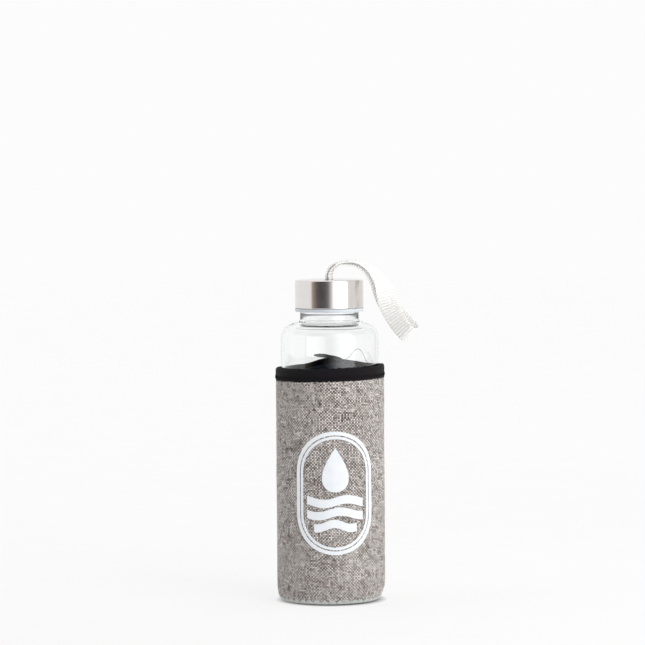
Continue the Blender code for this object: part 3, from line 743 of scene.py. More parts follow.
def cap_shell(steel):
    """The brushed steel cup, with a hemmed bottom edge and the strap's slot through its top."""
    inner = CAP_RADIUS - SHELL_WALL
    corner = (CAP_RADIUS - SHELL_EDGE_RADIUS, CAP_TOP - SHELL_EDGE_RADIUS)
    top = [(radius, CAP_TOP) for radius in (0.0, 9.0, 15.0, 19.0, 21.2, 21.65)]
    side = line((CAP_RADIUS, CAP_TOP - 1.5), (CAP_RADIUS, SHELL_BOTTOM + 0.6), step=2.0)
    hem = arc((CAP_RADIUS - 0.3, SHELL_BOTTOM + 0.3), 0.3, 0.0, -180.0, 6)
    inside = line((inner, SHELL_BOTTOM + 0.8), (inner, CAP_TOP - 1.6), step=4.0)
    under = arc(corner, SHELL_EDGE_RADIUS - SHELL_WALL, 0.0, 90.0, 4)
    ceiling = [(19.0, CAP_TOP - SHELL_WALL), (12.0, CAP_TOP - SHELL_WALL), (0.0, CAP_TOP - SHELL_WALL)]
    profile = top + arc(corner, SHELL_EDGE_RADIUS, 90.0, 0.0, 8) + side + hem + inside + under + ceiling
    shell = lathe("cap_shell_brushed", profile, steel, ROUND_STEPS, sharp=50.0)
    cutter = slot_cutter()
    cut = shell.modifiers.new("Slot", "BOOLEAN")
    cut.object = cutter
    cut.operation = "DIFFERENCE"
    cut.solver = "EXACT"
    ease_edges(shell, 0.15).angle_limit = math.radians(60.0)
    bake(shell)
    bpy.data.objects.remove(cutter)
    return put(shell, "cap", "steel", "cap_shell")


def ease_edges(obj, width):
    """A bevel on the piece's sharper edges."""
    ease = obj.modifiers.new("Ease", "BEVEL")
    ease.width = width * MM
    ease.segments = 2
    ease.limit_method = "ANGLE"
    return ease


def bake(obj, sharp=50.0):
    """Applies the piece's modifiers."""
    graph = bpy.context.evaluated_depsgraph_get()
    mesh = bpy.data.meshes.new_from_object(obj.evaluated_get(graph), depsgraph=graph)
    obj.modifiers.clear()
    obj.data = mesh
    mesh.shade_smooth()
    mesh.set_sharp_from_angle(angle=math.radians(sharp))


def liner_shape(angle, radius, z):
    ridge = thread_height(from_x(angle), z, LINER_THREAD, -THREAD_LEAD / 2.0, LINER_THREAD_DEPTH)
    on_bore = (np.abs(radius - LINER_BORE) < 0.05) & (z > LINER_BOTTOM + 1.0) & (z < LINER_TOP - 2.0)
    return radius - np.where(on_bore, ridge, 0.0), z


def cap_liner():
    """The moulded inner cup, whose lip shows below the steel."""
    ease = 0.25
    plate = LINER_TOP - LINER_PLATE
    top = line((0.0, LINER_TOP), (LINER_RADIUS - 0.6, LINER_TOP), step=4.0)
    outer = arc((LINER_RADIUS - 0.5, LINER_TOP - 0.5), 0.5, 90.0, 0.0, 4)
    outer += line(*((LINER_RADIUS, z) for z in (LINER_TOP - 1.0, LIP_TOP + 0.2, LIP_TOP)), step=3.0)
    lip = arc((CAP_RADIUS - ease, LIP_TOP - ease), ease, 90.0, 0.0, 4)
    lip += arc((CAP_RADIUS - 0.4, LINER_BOTTOM + 0.4), 0.4, 0.0, -90.0, 5)
    lip += arc((LINER_BORE + 0.3, LINER_BOTTOM + 0.3), 0.3, -90.0, -180.0, 4)
    bore = line((LINER_BORE, LINER_BOTTOM + 0.6), (LINER_BORE, plate - 0.4), step=0.25)
    bore += arc((LINER_BORE - 0.3, plate - 0.3), 0.3, 0.0, 90.0, 3)
    ceiling = line((LINER_BORE - 0.8, plate), (0.0, plate), step=4.0)
    look = plastic_material()
    obj = lathe("cap_liner_moulded", top + outer + lip + bore + ceiling, look, ROUND_STEPS, liner_shape)
    put(obj, "cap", "liner", "cap_liner")
    return obj, look


def pin_cradles(look):
    """The two posts that hold the pin, with rounded saddles."""
    across, along, up = strap_axes()
    for side, name in ((-1, "pin_cradle_near"), (1, "pin_cradle_far")):
        middle = side * (PIN_LENGTH / 2.0 - 1.2)
        width, length = 4.0, 2.4
        top = PIN_Z - 0.1
        section = [(-width / 2, LINER_TOP - 0.1), (-width / 2, top)]
        section += [(-PIN_RADIUS - 0.1, top)] + arc((0.0, PIN_Z), PIN_RADIUS + 0.1, 187.0, 353.0, 10)
        section += [(PIN_RADIUS + 0.1, top), (width / 2, top), (width / 2, LINER_TOP - 0.1)]
        rows = []
        for along_mm in (middle - length / 2, middle + length / 2):
            rows += [across * u + along * along_mm + up * z for u, z in section]
        count = len(section)
        faces = [(i, count + i, count + (i + 1) % count, (i + 1) % count) for i in range(count)]
        faces += [tuple(range(count)), tuple(range(count, 2 * count))[::-1]]
        post = finish_mesh(name, rows, faces, look, sharp=30.0)
        ease_edges(post, 0.2)
        bake(post, 30.0)
        put(post, "cap", "liner")


def cap_gasket():
    """The silicone ring that seals on the glass rim."""
    top = LINER_TOP - LINER_PLATE - 0.3
    bottom = top - 1.6
    inner, outer, ease = 15.6, 20.4, 0.45
    profile = arc((outer - ease, top - ease), ease, 90.0, 0.0, 5)
    profile += arc((outer - ease, bottom + ease), ease, 0.0, -90.0, 5)
    profile += [(19.0, bottom), (18.6, bottom + 0.2), (17.2, bottom + 0.2), (16.8, bottom)]
    profile += arc((inner + ease, bottom + ease), ease, -90.0, -180.0, 5)
    profile += arc((inner + ease, top - ease), ease, 180.0, 90.0, 5)
    ring = lathe("cap_gasket_ring", profile, silicone_material(), 160)
    return put(ring, "gasket", "silicone", "cap_gasket")


def strap_pin():
    across, along, up = strap_axes()
    half = PIN_LENGTH / 2.0
    steps = [(-half, 0.4), (-half + 0.15, 0.65), (-half + 0.35, PIN_RADIUS)]
    steps += [(-half + 1.0 + i * (PIN_LENGTH - 2.0) / 12.0, PIN_RADIUS) for i in range(13)]
    steps += [(half - 0.35, PIN_RADIUS), (half - 0.15, 0.65), (half, 0.4)]
    sides = 24
    points, faces = [], []
    for along_mm, radius in steps:
        for j in range(sides):
            a = 2.0 * math.pi * j / sides
            offset = across * math.cos(a) * radius + up * math.sin(a) * radius
            points.append(along * along_mm + offset + up * PIN_Z)
    faces = grid_faces(len(steps), sides)
    faces += [tuple(range(sides)), tuple(range((len(steps) - 1) * sides, len(steps) * sides))[::-1]]
    obj = finish_mesh("strap_pin_steel", points, faces, pin_material(), sharp=50.0)
    outward(obj)
    return put(obj, "cap", "steel", "strap_pin")


def outward(obj):
    """Turns the faces of a closed piece outward if its volume comes out negative."""
    mesh = obj.data
    mesh.calc_loop_triangles()
    points = np.array([v.co for v in mesh.vertices])
    triangles = np.array([t.vertices[:] for t in mesh.loop_triangles])
    if np.linalg.det(points[triangles]).sum() < 0.0:
        mesh.flip_normals()


# ---------------------------------------------------------------- strap

STRAP_LINE = (
    (0.0, LOOP_START, 1.8, 0.0),
    (1.7, 222.4, 1.8, 0.0),
    (5.7, 225.4, 1.9, 2.0),
    (11.2, 226.5, 2.1, 3.0),
    (16.6, 226.3, 2.3, 5.0),
    (21.8, 225.0, 2.6, 8.0),
    (26.6, 221.8, 3.0, 12.0),
    (30.6, 217.6, 3.5, 20.0),
    (34.2, 212.6, 4.2, 34.0),
    (37.2, 206.3, 5.0, 54.0),
    (39.6, 200.4, 5.9, 75.0),
    (42.6, 194.8, 6.8, 90.0),
    (46.2, 189.6, 7.7, 99.0),
    (50.0, 185.0, 8.5, 105.0),
    (53.2, 181.6, 9.0, 109.0),
)
PIN_REACH = PIN_RADIUS + 0.3 + WEBBING_THICKNESS / 2.0


def turned_about(vector, axis, degrees):
    return np.array(Matrix.Rotation(math.radians(degrees), 3, Vector(axis)) @ Vector(vector))


def strap_stations():
    """The band's middles and directions across it: from the pin, out, round the tip and back to the pin."""
    across, along, up = strap_axes()
    middle_line = smooth_line(STRAP_LINE, 0.8)
    outgoing, returning = [], []
    for i, (u, z, gap, twist) in enumerate(middle_line):
        before, after = middle_line[max(i - 1, 0)], middle_line[min(i + 1, len(middle_line) - 1)]
        ahead = across * (after[0] - before[0]) + up * (after[1] - before[1])
        ahead /= np.linalg.norm(ahead)
        band = turned_about(along, ahead, twist)
        out = turned_about(np.cross(ahead, along), ahead, twist)
        middle = across * u + up * z
        outgoing.append((middle + out * gap / 2, band))
        returning.insert(0, (middle - out * gap / 2, band))
    tip = []
    for i in range(1, 24):
        angle = math.pi * i / 24
        tip.append((middle + (out * math.cos(angle) + ahead * math.sin(angle)) * gap / 2, band))
    inside = []
    for side in (1, -1):
        first = outgoing[0][0] if side == 1 else returning[-1][0]
        reach = -side * PIN_REACH
        root = [(reach, PIN_Z + 0.5, 0.0), (reach, PIN_Z + 1.8, 0.0), (-side * 1.35, CAP_TOP + 0.6, 0.0)]
        drop = smooth_line(root + [(float(first @ across), float(first[2]), 0.0)], 0.5)
        inside.append([(across * u + up * z, along) for u, z, _ in drop[:-1]])
    under = arc((0.0, PIN_Z), PIN_REACH, 355.0, 185.0, 16)
    hook = [(across * u + up * z, along) for u, z in under]
    return inside[0] + outgoing + tip + returning + inside[1][::-1] + hook


def strap():
    """One continuous band of ribbed webbing, held in the cap and free beyond its slot."""
    stations = strap_stations()
    middles = np.array([m for m, _ in stations])
    bands = np.array([b for _, b in stations])
    gaps = np.linalg.norm(np.diff(middles, axis=0), axis=1)
    length = np.r_[0.0, np.cumsum(gaps)]
    total = length[-1] + np.linalg.norm(middles[0] - middles[-1])
    count = 6 * round(total / RIB_PITCH)
    pitch = total / round(total / RIB_PITCH)
    even = np.linspace(0.0, total, count, endpoint=False)
    ring = np.r_[length, total]
    middles, bands = (
        np.stack([np.interp(even, ring, np.r_[rows[:, k], rows[:1, k]]) for k in range(3)], 1)
        for rows in (middles, bands)
    )
    tangent = unit(np.roll(middles, -1, 0) - np.roll(middles, 1, 0))
    normal = unit(np.cross(tangent, unit(bands)))
    bands = np.cross(normal, tangent)
    half = WEBBING_WIDTH / 2.0
    # The section: flat faces with eased, slightly thicker woven edges.
    steps = np.linspace(-1.0, 1.0, 15)
    face = [(half * t, 0.40 + 0.05 * (abs(t) > 0.86) - 0.22 * (abs(t) > 0.99)) for t in steps]
    section = np.array(face + [(u, -v) for u, v in face[::-1]])
    columns = len(section)
    rib = 0.5 - 0.5 * np.cos(2.0 * math.pi * even / pitch)
    bulge = 0.88 + 0.18 * np.sqrt(rib)
    edge = 1.0 - 0.010 * (1.0 - rib)
    wander = rough_noise(even * 0.05, even * 0.0, even * 0.0 + 3.0) * 0.12
    points = (
        middles[:, None, :]
        + bands[:, None, :] * (section[None, :, 0] * edge[:, None] + wander[:, None])[:, :, None]
        + normal[:, None, :] * (section[None, :, 1] * bulge[:, None])[:, :, None]
    ).reshape(-1, 3)
    faces = grid_faces(count, columns, wrap_rows=True)
    over = np.broadcast_to(section[:, 0] + half, (count, columns))
    uv = np.stack([over, np.repeat(even[:, None] * RIB_PITCH / pitch, columns, 1)], -1).reshape(-1, 2)
    obj = finish_mesh("strap_webbing", points, faces, webbing_material(), uv, sharp=70.0)
    outward(obj)
    put(obj, None, "webbing", "strap_root", "strap_loop")
    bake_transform(obj)
    return obj


# ---------------------------------------------------------------- sleeve


def heel_point(radius, below):
    angle = math.radians(below)
    return BODY_RADIUS - HEEL_RADIUS + radius * math.cos(angle), HEEL_RADIUS - radius * math.sin(angle)


def rim_rise(angle, radius, z):
    """How much higher this place on the sleeve stands. Angles start at -Y, and the seam is at half a turn."""
    share = np.clip((z - RISE_STARTS_Z) / (SLEEVE_TOP - BINDING_HEIGHT - RISE_STARTS_Z), 0.0, 1.0)
    from_seam = (math.pi - np.mod(angle, 2.0 * math.pi)) * radius
    from_peak = from_seam - SEAM_PEAK
    spread = np.where(from_peak > 0.0, SEAM_SPREAD[0], SEAM_SPREAD[1])
    rise = RIM_TILT * np.sin(angle) + SEAM_RISE * np.exp(-((from_peak / spread) ** 2))
    return share * share * rise


def raised(angle, radius, z):
    return radius, z + rim_rise(angle, radius, z)


def hem_pinch(angle, z):
    """How far the sleeve's foot is drawn in, mostly on the strap's side."""
    side = PINCH + PINCH_STRAP_SIDE * np.clip(np.sin(angle), 0.0, 1.0)
    return side * np.exp(-(((z - PINCH_Z) / PINCH_SPREAD) ** 2))


def drawn_in(angle, radius, z):
    """The radius once the sleeve's foot is drawn in, still clear of the glass heel inside it."""
    low = np.clip(z, 0.0, HEEL_RADIUS)
    glass = BODY_RADIUS - HEEL_RADIUS + np.sqrt(HEEL_RADIUS**2 - (HEEL_RADIUS - low) ** 2)
    gap = radius - glass
    return glass + np.maximum(gap - hem_pinch(angle, z), LEAST_GAP * gap)


def lining_shape(angle, radius, z):
    """The lining's outer face gives way where the sleeve's foot is drawn in."""
    return raised(angle, radius - np.where(radius > LINING_OUTER - 0.6, hem_pinch(angle, z), 0.0), z)


def softness(angle, z):
    """How unevenly the padding bulges."""
    x, y = np.sin(angle), np.cos(angle)
    return rough_noise(x * 1.6, y * 1.6, z * 0.03) * 0.22 + rough_noise(x * 5.0, y * 5.0, z * 0.12) * 0.08


def fabric_shape(angle, radius, z):
    """The rim's rise, soft unevenness, and a pinch above the hem on the strap's side."""
    x, y = np.sin(angle), np.cos(angle)
    soft = softness(angle, z)
    outer = radius > LINING_OUTER + 0.5
    column, row = angle * THREADS_ROUND / (2.0 * math.pi), z / THREAD_PITCH
    relief = np.abs(np.sin(column * math.pi) * np.sin(row * math.pi))
    slub = 1.0 + 0.5 * rough_noise(np.floor(column) * 3.7, np.floor(row) * 0.2, z * 0.0)
    on_wall = outer & (z > 9.0) & (z < SLEEVE_TOP - BINDING_HEIGHT - 1.0)
    radius = drawn_in(angle, radius + np.where(outer & (z > 3.0), soft, 0.0), z)
    radius = radius + np.where(on_wall, (relief - 0.5) * 0.15 * slub, 0.0)
    # The rows and columns wander a little.
    round_shift = 0.75 * rough_noise(x * 2.2, y * 2.2 + 9.0, z * 0.07)
    up_shift = 0.75 * rough_noise(x * 2.6 + 5.0, y * 2.6, z * 0.05)
    angle = angle + np.where(on_wall, round_shift / FABRIC_OUTER, 0.0)
    return (angle, *raised(angle, radius, z + np.where(on_wall, up_shift, 0.0)))


def sleeve_lining(look):
    fold = 0.95
    top = SLEEVE_TOP - 0.9
    under_binding = SLEEVE_TOP - BINDING_HEIGHT - 0.3
    under_fold = SLEEVE_TOP - BINDING_INSIDE - 0.3
    profile = line(
        (LINING_INNER + fold, top),
        (LINING_OUTER - 0.4, top),
        (LINING_OUTER - 0.4, under_binding),
        (LINING_OUTER, under_binding - 2.0),
        (LINING_OUTER, LINING_BOTTOM),
        (LINING_INNER, LINING_BOTTOM),
        (LINING_INNER, under_fold - 1.0),
        (LINING_INNER + fold * 0.6, under_fold + 0.1),
        step=3.0,
    )
    obj = lathe("sleeve_lining_neoprene", profile, look, 160, lining_shape)
    return put(obj, "sleeve", "neoprene", "sleeve_lining")


def sleeve_fabric(look):
    """The woven face, turned in under the glass heel."""
    top = SLEEVE_TOP - 0.9
    under_binding = SLEEVE_TOP - BINDING_HEIGHT - 0.3
    inner = LINING_OUTER + 0.25
    outside = line((FABRIC_OUTER - 0.4, top), (FABRIC_OUTER - 0.4, under_binding + 0.6), step=1.2)
    half_thread = THREAD_PITCH / 2.0
    first, last = math.floor((under_binding - 0.4) / half_thread), math.ceil(9.0 / half_thread)
    outside += [(FABRIC_OUTER, k * half_thread) for k in range(first, last - 1, -1)]
    under = [heel_point(*place) for place in ((7.35, 0.0), (6.6, 12.0), (5.95, 24.0), (5.6, 32.0))]
    curl = smooth_line([(FABRIC_OUTER - 0.2, 7.6)] + under, 0.4)
    against = [heel_point(*place) for place in ((4.9, 32.0), (4.9, 20.0), (5.1, 6.0))]
    back = smooth_line(against + [(inner - 0.3, LINING_BOTTOM - 0.4)], 0.6)
    inside = line(
        (inner, LINING_BOTTOM + 0.8),
        (inner, under_binding - 1.7),
        (inner - 0.4, under_binding + 0.3),
        (inner - 0.4, top - 0.1),
        step=4.0,
    )
    profile = outside + [tuple(p) for p in curl] + [tuple(p) for p in back] + inside
    obj = lathe("sleeve_fabric_woven", profile, look, 2 * THREADS_ROUND, fabric_shape, 80.0, level_map=True)
    put(obj, "sleeve", "linen", "sleeve_fabric")
    return obj


def fold_fullness(angle):
    """1 where the binding's fold is fullest, on the strap's side, and 0 away from there."""
    return np.exp(-(((angle - FOLD_FULL_AT) / FOLD_FULL_SPREAD) ** 2))


def binding_shape(angle, radius, z):
    """The tape's lower edge is drawn in a little between stitches, and its fold is uneven."""
    x, y = np.sin(angle), np.cos(angle)
    bottom = np.clip((SLEEVE_TOP - BINDING_HEIGHT + 2.0 - z) / 2.0, 0.0, 1.0)
    outer = radius > LINING_OUTER
    scallop = 0.16 * np.cos(angle * STITCH_COUNT) + 0.30 * rough_noise(x * 4.0, y * 4.0, z * 0.0)
    full = 0.45 * fold_fullness(np.mod(angle, 2.0 * math.pi)) + 0.10
    crest = np.clip((z - (SLEEVE_TOP - 3.0)) / 3.0, 0.0, 1.0)
    radius = radius + np.where(outer, full * 0.5 - 0.45 + 0.10 * rough_noise(x * 6.0, y * 6.0, z * 0.3), 0.0)
    z = z + bottom * scallop + crest * (full * 1.3 + 0.22 * rough_noise(x * 3.0, y * 3.0, z * 0.0 + 4.0))
    return radius, z + rim_rise(angle, radius, z)


def sleeve_binding(look):
    """The black tape folded over the sleeve's top edge: a soft roll, longer outside than inside."""
    bottom = SLEEVE_TOP - BINDING_HEIGHT
    tape = 0.6
    outer = BINDING_OUTER
    inner = LINING_INNER
    crown = [
        (inner + 0.35, SLEEVE_TOP - 0.75),
        (inner + 0.9, SLEEVE_TOP - 0.12),
        (inner + 1.7, SLEEVE_TOP + 0.05),
        (outer - 0.95, SLEEVE_TOP - 0.05),
        (outer - 0.3, SLEEVE_TOP - 0.55),
        (outer, SLEEVE_TOP - 1.5),
    ]
    outside = smooth_line(crown + [(outer + 0.05, bottom + 4.0), (outer - 0.05, bottom + 0.6)], 0.45)
    edge = arc((outer - 0.35, bottom + 0.25), 0.3, 0.0, -180.0, 6)
    crease, inner_bottom = SLEEVE_TOP - tape, SLEEVE_TOP - BINDING_INSIDE
    out, back = outer - tape, inner + tape
    under = line((out - 0.05, bottom + 0.6), (out, SLEEVE_TOP - 1.0), (out - 0.5, crease), step=1.2)
    fold = line((back + 0.5, crease), (back, SLEEVE_TOP - 1.0), (back, inner_bottom + 0.3), step=0.8)
    inner_edge = arc((inner + 0.32, inner_bottom + 0.28), 0.28, 0.0, -180.0, 5)
    rise = line((inner + 0.02, inner_bottom + 0.6), (inner + 0.05, SLEEVE_TOP - 1.6), step=0.6)
    profile = [tuple(p) for p in outside] + edge + under + fold + inner_edge + rise
    obj = lathe("sleeve_binding_tape", profile, look, 360, binding_shape, sharp=70.0)
    return put(obj, "sleeve", "binding", "sleeve_binding")


def around(angle, radius, z):
    """A point at an angle from -Y."""
    return (radius * math.sin(angle), -radius * math.cos(angle), z)


def rise_at(angle, radius, z=SLEEVE_TOP):
    return float(rim_rise(np.array(angle), radius, np.array(z)))


def zigzag(steps):
    """0 to 1 over one leg and back over the next."""
    leg, t = divmod(steps, 1.0)
    return t if leg % 2 == 0 else 1.0 - t


def binding_stitches(look):
    """A zigzag of black thread round the tape's lower half."""
    path = []
    per_leg = 5
    low, high = 149.9, 152.3
    for i in range(2 * STITCH_COUNT * per_leg):
        share = zigzag(i / per_leg)
        angle = 2.0 * math.pi * i / (2 * STITCH_COUNT * per_leg)
        z = low + (high - low) * share
        radius = BINDING_OUTER + 0.20 - 0.16 * (abs(share - 0.5) > 0.45)
        radius += float(0.225 * fold_fullness(angle) - 0.40)
        z += rise_at(angle, radius, z)
        path.append(around(angle, radius, z))
    obj = tubes("binding_stitch_thread", [tube(path, 0.15, 6, closed=True)], look)
    return put(obj, "sleeve", "binding", "binding_stitches")


def binding_tail(look):
    """The tape's cut end: folded double, it stands up off the rim towards -X."""
    stations = (
        (-8.2, 3.5, 1.1),
        (-6.0, 2.4, 1.9),
        (-3.0, 1.1, 2.4),
        (0.0, 0.2, 2.4),
        (3.0, 0.0, 1.8),
        (6.0, -0.1, 1.5),
        (9.0, -0.1, 1.0),
        (11.4, -0.2, 0.6),
    )
    rows, maps = [], []
    for x, lift, thickness in smooth_line(stations, 0.6):
        y = math.sqrt(TAIL_RADIUS ** 2 - x ** 2)
        angle = math.pi - math.asin(x / TAIL_RADIUS)
        low = SLEEVE_TOP + rise_at(angle, TAIL_RADIUS) + 0.15 + lift
        out = np.array([x, y, 0.0]) / TAIL_RADIUS
        half = 0.62
        section = [(-half, 0.1), (-half * 0.6, -0.02), (half * 0.6, 0.0), (half, 0.12)]
        section += [(half, 0.42), (half * 0.75, 0.5), (half, 0.58), (half * 0.9, 0.95), (half * 0.4, 1.0)]
        section += [(-half * 0.5, 1.0), (-half, 0.9), (-half * 1.05, 0.6), (-half * 0.8, 0.5), (-half, 0.4)]
        for k, (r, t) in enumerate(section):
            fray = 0.28 * noise.noise(Vector((x * 0.8, k * 0.7, 0.0)))
            rows.append(np.array([x, y, low + t * thickness + fray]) + out * r)
            maps.append((k * 0.35, x))
    columns = len(section)
    count = len(rows) // columns
    faces = grid_faces(count, columns)
    faces += [tuple(range(columns))[::-1], tuple(range((count - 1) * columns, count * columns))]
    obj = finish_mesh("binding_tail_end", rows, faces, look, maps, sharp=50.0)
    outward(obj)
    return put(obj, "sleeve", "binding", "binding_tail")


def loose_thread(look):
    """The loop of grey thread that has come free beside the seam."""
    heights = (
        (14.2, 0.1),
        (16.4, 1.5),
        (18.8, 4.8),
        (21.6, 7.8),
        (24.2, 8.1),
        (26.7, 5.0),
        (28.7, 1.0),
        (30.0, 0.1),
    )
    path = []
    for i, (x, height) in enumerate(smooth_line(heights, 0.5)):
        radius = 34.9 + 0.25 * math.sin(i * 0.35)
        angle = math.pi - math.asin(x / radius)
        rim = SLEEVE_TOP + rise_at(angle, radius)
        path.append(around(angle, radius, rim + 0.25 + height))
    obj = tubes("loose_thread_loop", [tube(path, 0.17, 6)], look)
    return put(obj, "sleeve", "thread", "loose_thread")


def hem_surface(angle, down, lift=0.0):
    """A point on the hem, which curls in under the heel: down is 0 at its top edge, 1 at the cut edge."""
    below = HEM_STARTS + HEM_REACH * down
    radius = HEM_RADIUS - HEM_CURL * down + lift
    r, z = heel_point(radius, below)
    return around(angle, float(drawn_in(angle, r, z)), z)


def hem_overlock(look):
    """Overlock stitching: nested loops of thread over the cut edge, with gaps between like teeth."""
    parts = []
    pitch = 2.0 * math.pi / HEM_TEETH
    rng = random.Random(11)
    for k in range(HEM_TEETH):
        left = k * pitch
        for nest, (reach, width) in enumerate(((1.0, 0.94), (0.72, 0.66), (0.46, 0.40), (0.24, 0.16))):
            reach *= rng.uniform(0.94, 1.05)
            skew = rng.uniform(-0.05, 0.05)
            path = []
            for i in range(13):
                t = i / 12.0
                side = left + pitch * (0.5 + width * (t - 0.5) + skew * math.sin(math.pi * t))
                down = 1.0 - reach * math.sin(math.pi * t) ** 0.75
                path.append(hem_surface(side, down, 0.14 + (0.08 * nest) % 0.2))
            parts.append(tube(path, 0.36, 6))
    for down, lift, radius in ((0.97, 0.10, 0.34), (0.80, 0.02, 0.34), (0.62, -0.1, 0.32)):
        path = []
        for i in range(HEM_TEETH * 6):
            wobble = 0.03 * math.sin(i * math.pi / 3.0)
            path.append(hem_surface(i * pitch / 6.0, down + wobble, lift))
        parts.append(tube(path, radius, 6, closed=True))
    obj = tubes("hem_overlock_thread", parts, look)
    return put(obj, "sleeve", "thread", "hem_overlock")


def back_seam(look):
    """Flatlock stitching down the back: two lines of thread with a ladder of slanting loops between them."""
    parts = []
    low, high = 8.0, 147.6
    radius = FABRIC_OUTER + STANDS_OFF
    for offset in (-2.2, 2.2):
        path = []
        for i in range(94):
            t = i / 93.0
            z = low + (high - low) * t
            lift = rise_at(math.pi, radius, z)
            dip = 0.12 * math.cos(i * math.pi)
            path.append(around(math.pi + offset / radius, radius + dip, z + lift))
        parts.append(tube(path, 0.24, 6))
    legs = 56
    path = []
    for i in range(legs * 6 + 1):
        share = zigzag(i / 6.0)
        z = low + (high - low) * i / (legs * 6.0)
        lift = rise_at(math.pi, radius, z)
        offset = 2.3 * (2.0 * share - 1.0)
        path.append(around(math.pi + offset / radius, radius + 0.10, z + lift))
    parts.append(tube(path, 0.22, 6))
    obj = tubes("back_seam_flatlock", parts, look)
    return put(obj, "sleeve", "thread", "back_seam_thread")


# ---------------------------------------------------------------- badge


def capsule(width, height, centre_z, steps=24):
    end = width / 2.0
    half = height / 2.0 - end
    over = arc((0.0, centre_z + half), end, 0.0, 180.0, steps)
    return over + arc((0.0, centre_z - half), end, 180.0, 360.0, steps)


def drop(centre_z, size):
    """A water drop: round below, drawn to a point above."""
    out = []
    for i in range(48):
        a = 2.0 * math.pi * i / 48.0
        x = size * 0.5 * math.sin(a) * math.sin(a / 2.0) ** 1.2
        out.append((x, centre_z + size * 0.62 * math.cos(a)))
    return out


def wave_band(level, thickness, half_width, swell, phase):
    """A wavy stripe, as a closed outline."""
    xs = np.linspace(-half_width, half_width, 40)
    rise = swell * np.sin(xs / half_width * math.pi * 1.25 + phase)
    upper = [(x, level + r + thickness / 2.0) for x, r in zip(xs, rise)]
    lower = [(x, level + r - thickness / 2.0) for x, r in zip(xs, rise)]
    return upper + lower[::-1]


def flat_shape(outlines):
    """A flat mesh, in X and Z, filled between outlines by the even-odd rule."""
    data = bpy.data.curves.new("badge_outline", "CURVE")
    data.dimensions = "2D"
    data.fill_mode = "BOTH"
    for outline in outlines:
        spline = data.splines.new("POLY")
        spline.points.add(len(outline) - 1)
        for point, (x, z) in zip(spline.points, outline):
            point.co = (x, z, 0.0, 1.0)
        spline.use_cyclic_u = True
    obj = placed("badge_outline", data)
    graph = bpy.context.evaluated_depsgraph_get()
    mesh = bpy.data.meshes.new_from_object(obj.evaluated_get(graph), depsgraph=graph)
    bpy.data.objects.remove(obj)
    return mesh


def front_print():
    """The badge: a capsule with a double border, a drop and waves, bent round the sleeve."""
    outlines = [capsule(BADGE_WIDTH - less, BADGE_HEIGHT - less, BADGE_Z) for less in (0.0, 5.0, 6.6, 10.2)]
    outlines.append(drop(BADGE_Z + 15.5, 24.0))
    for k, level in enumerate((BADGE_Z - 5.5, BADGE_Z - 13.6, BADGE_Z - 21.7)):
        outlines.append(wave_band(level, 5.6, 19.2 - 2.4 * k * (k > 1), 1.5, 0.9 * k))
    flat = flat_shape(outlines)
    work = bmesh.new()
    work.from_mesh(flat)
    bmesh.ops.remove_doubles(work, verts=work.verts, dist=0.001)
    across, up = BADGE_WIDTH / 2.0, BADGE_HEIGHT / 2.0
    for axis, low, high, step in ((0, -across, across, 1.5), (1, BADGE_Z - up, BADGE_Z + up, 3.0)):
        where = low + step
        while where < high - 0.01:
            normal = (1.0, 0.0, 0.0) if axis == 0 else (0.0, 1.0, 0.0)
            origin = (where, 0.0, 0.0) if axis == 0 else (0.0, where, 0.0)
            geometry = work.verts[:] + work.edges[:] + work.faces[:]
            bmesh.ops.bisect_plane(work, geom=geometry, dist=0.0001, plane_co=origin, plane_no=normal)
            where += step
    radius = FABRIC_OUTER + STANDS_OFF
    for vert in work.verts:
        s, z = vert.co.x, vert.co.y
        angle = s / FABRIC_OUTER
        soft = float(softness(angle, z))
        vert.co = Vector(around(angle, radius + soft, z)) * MM
    bmesh.ops.recalc_face_normals(work, faces=work.faces)
    mesh = bpy.data.meshes.new("front_print_badge")
    work.to_mesh(mesh)
    work.free()
    bpy.data.meshes.remove(flat)
    mesh.materials.append(print_material())
    obj = placed("front_print_badge", mesh)
    front = mesh.polygons[0]
    if front.normal.dot(Vector((front.center.x, front.center.y, 0.0))) < 0.0:
        mesh.flip_normals()
    film = obj.modifiers.new("Film", "SOLIDIFY")
    film.thickness = 0.16 * MM
    film.offset = -1.0
    bake(obj, 40.0)
    put(obj, "sleeve", "print", "front_print")
    return obj


# ---------------------------------------------------------------- build

steel = steel_material()
tape = binding_material()
grey_thread = thread_material("overlock_thread", (0.42, 0.44, 0.42), (0.80, 0.83, 0.80))
glass_bottle()
cap_shell(steel)
_, plastic = cap_liner()
pin_cradles(plastic)
cap_gasket()
strap_pin()
strap()
sleeve_lining(neoprene_material())
cloth = sleeve_fabric(linen_material())
sleeve_binding(tape)
black = (0.0015, 0.0015, 0.002), (0.006, 0.0055, 0.0065)
binding_stitches(thread_material("black_thread", *black, 0.9, 0.02, 0.1))
binding_tail(tape)
loose_thread(thread_material("loose_thread", (0.05, 0.05, 0.055), (0.16, 0.16, 0.17), 0.6))
hem_overlock(grey_thread)
back_seam(thread_material("seam_thread", (0.30, 0.29, 0.28), (0.62, 0.60, 0.58)))
front_print()


# ---------------------------------------------------------------- studio

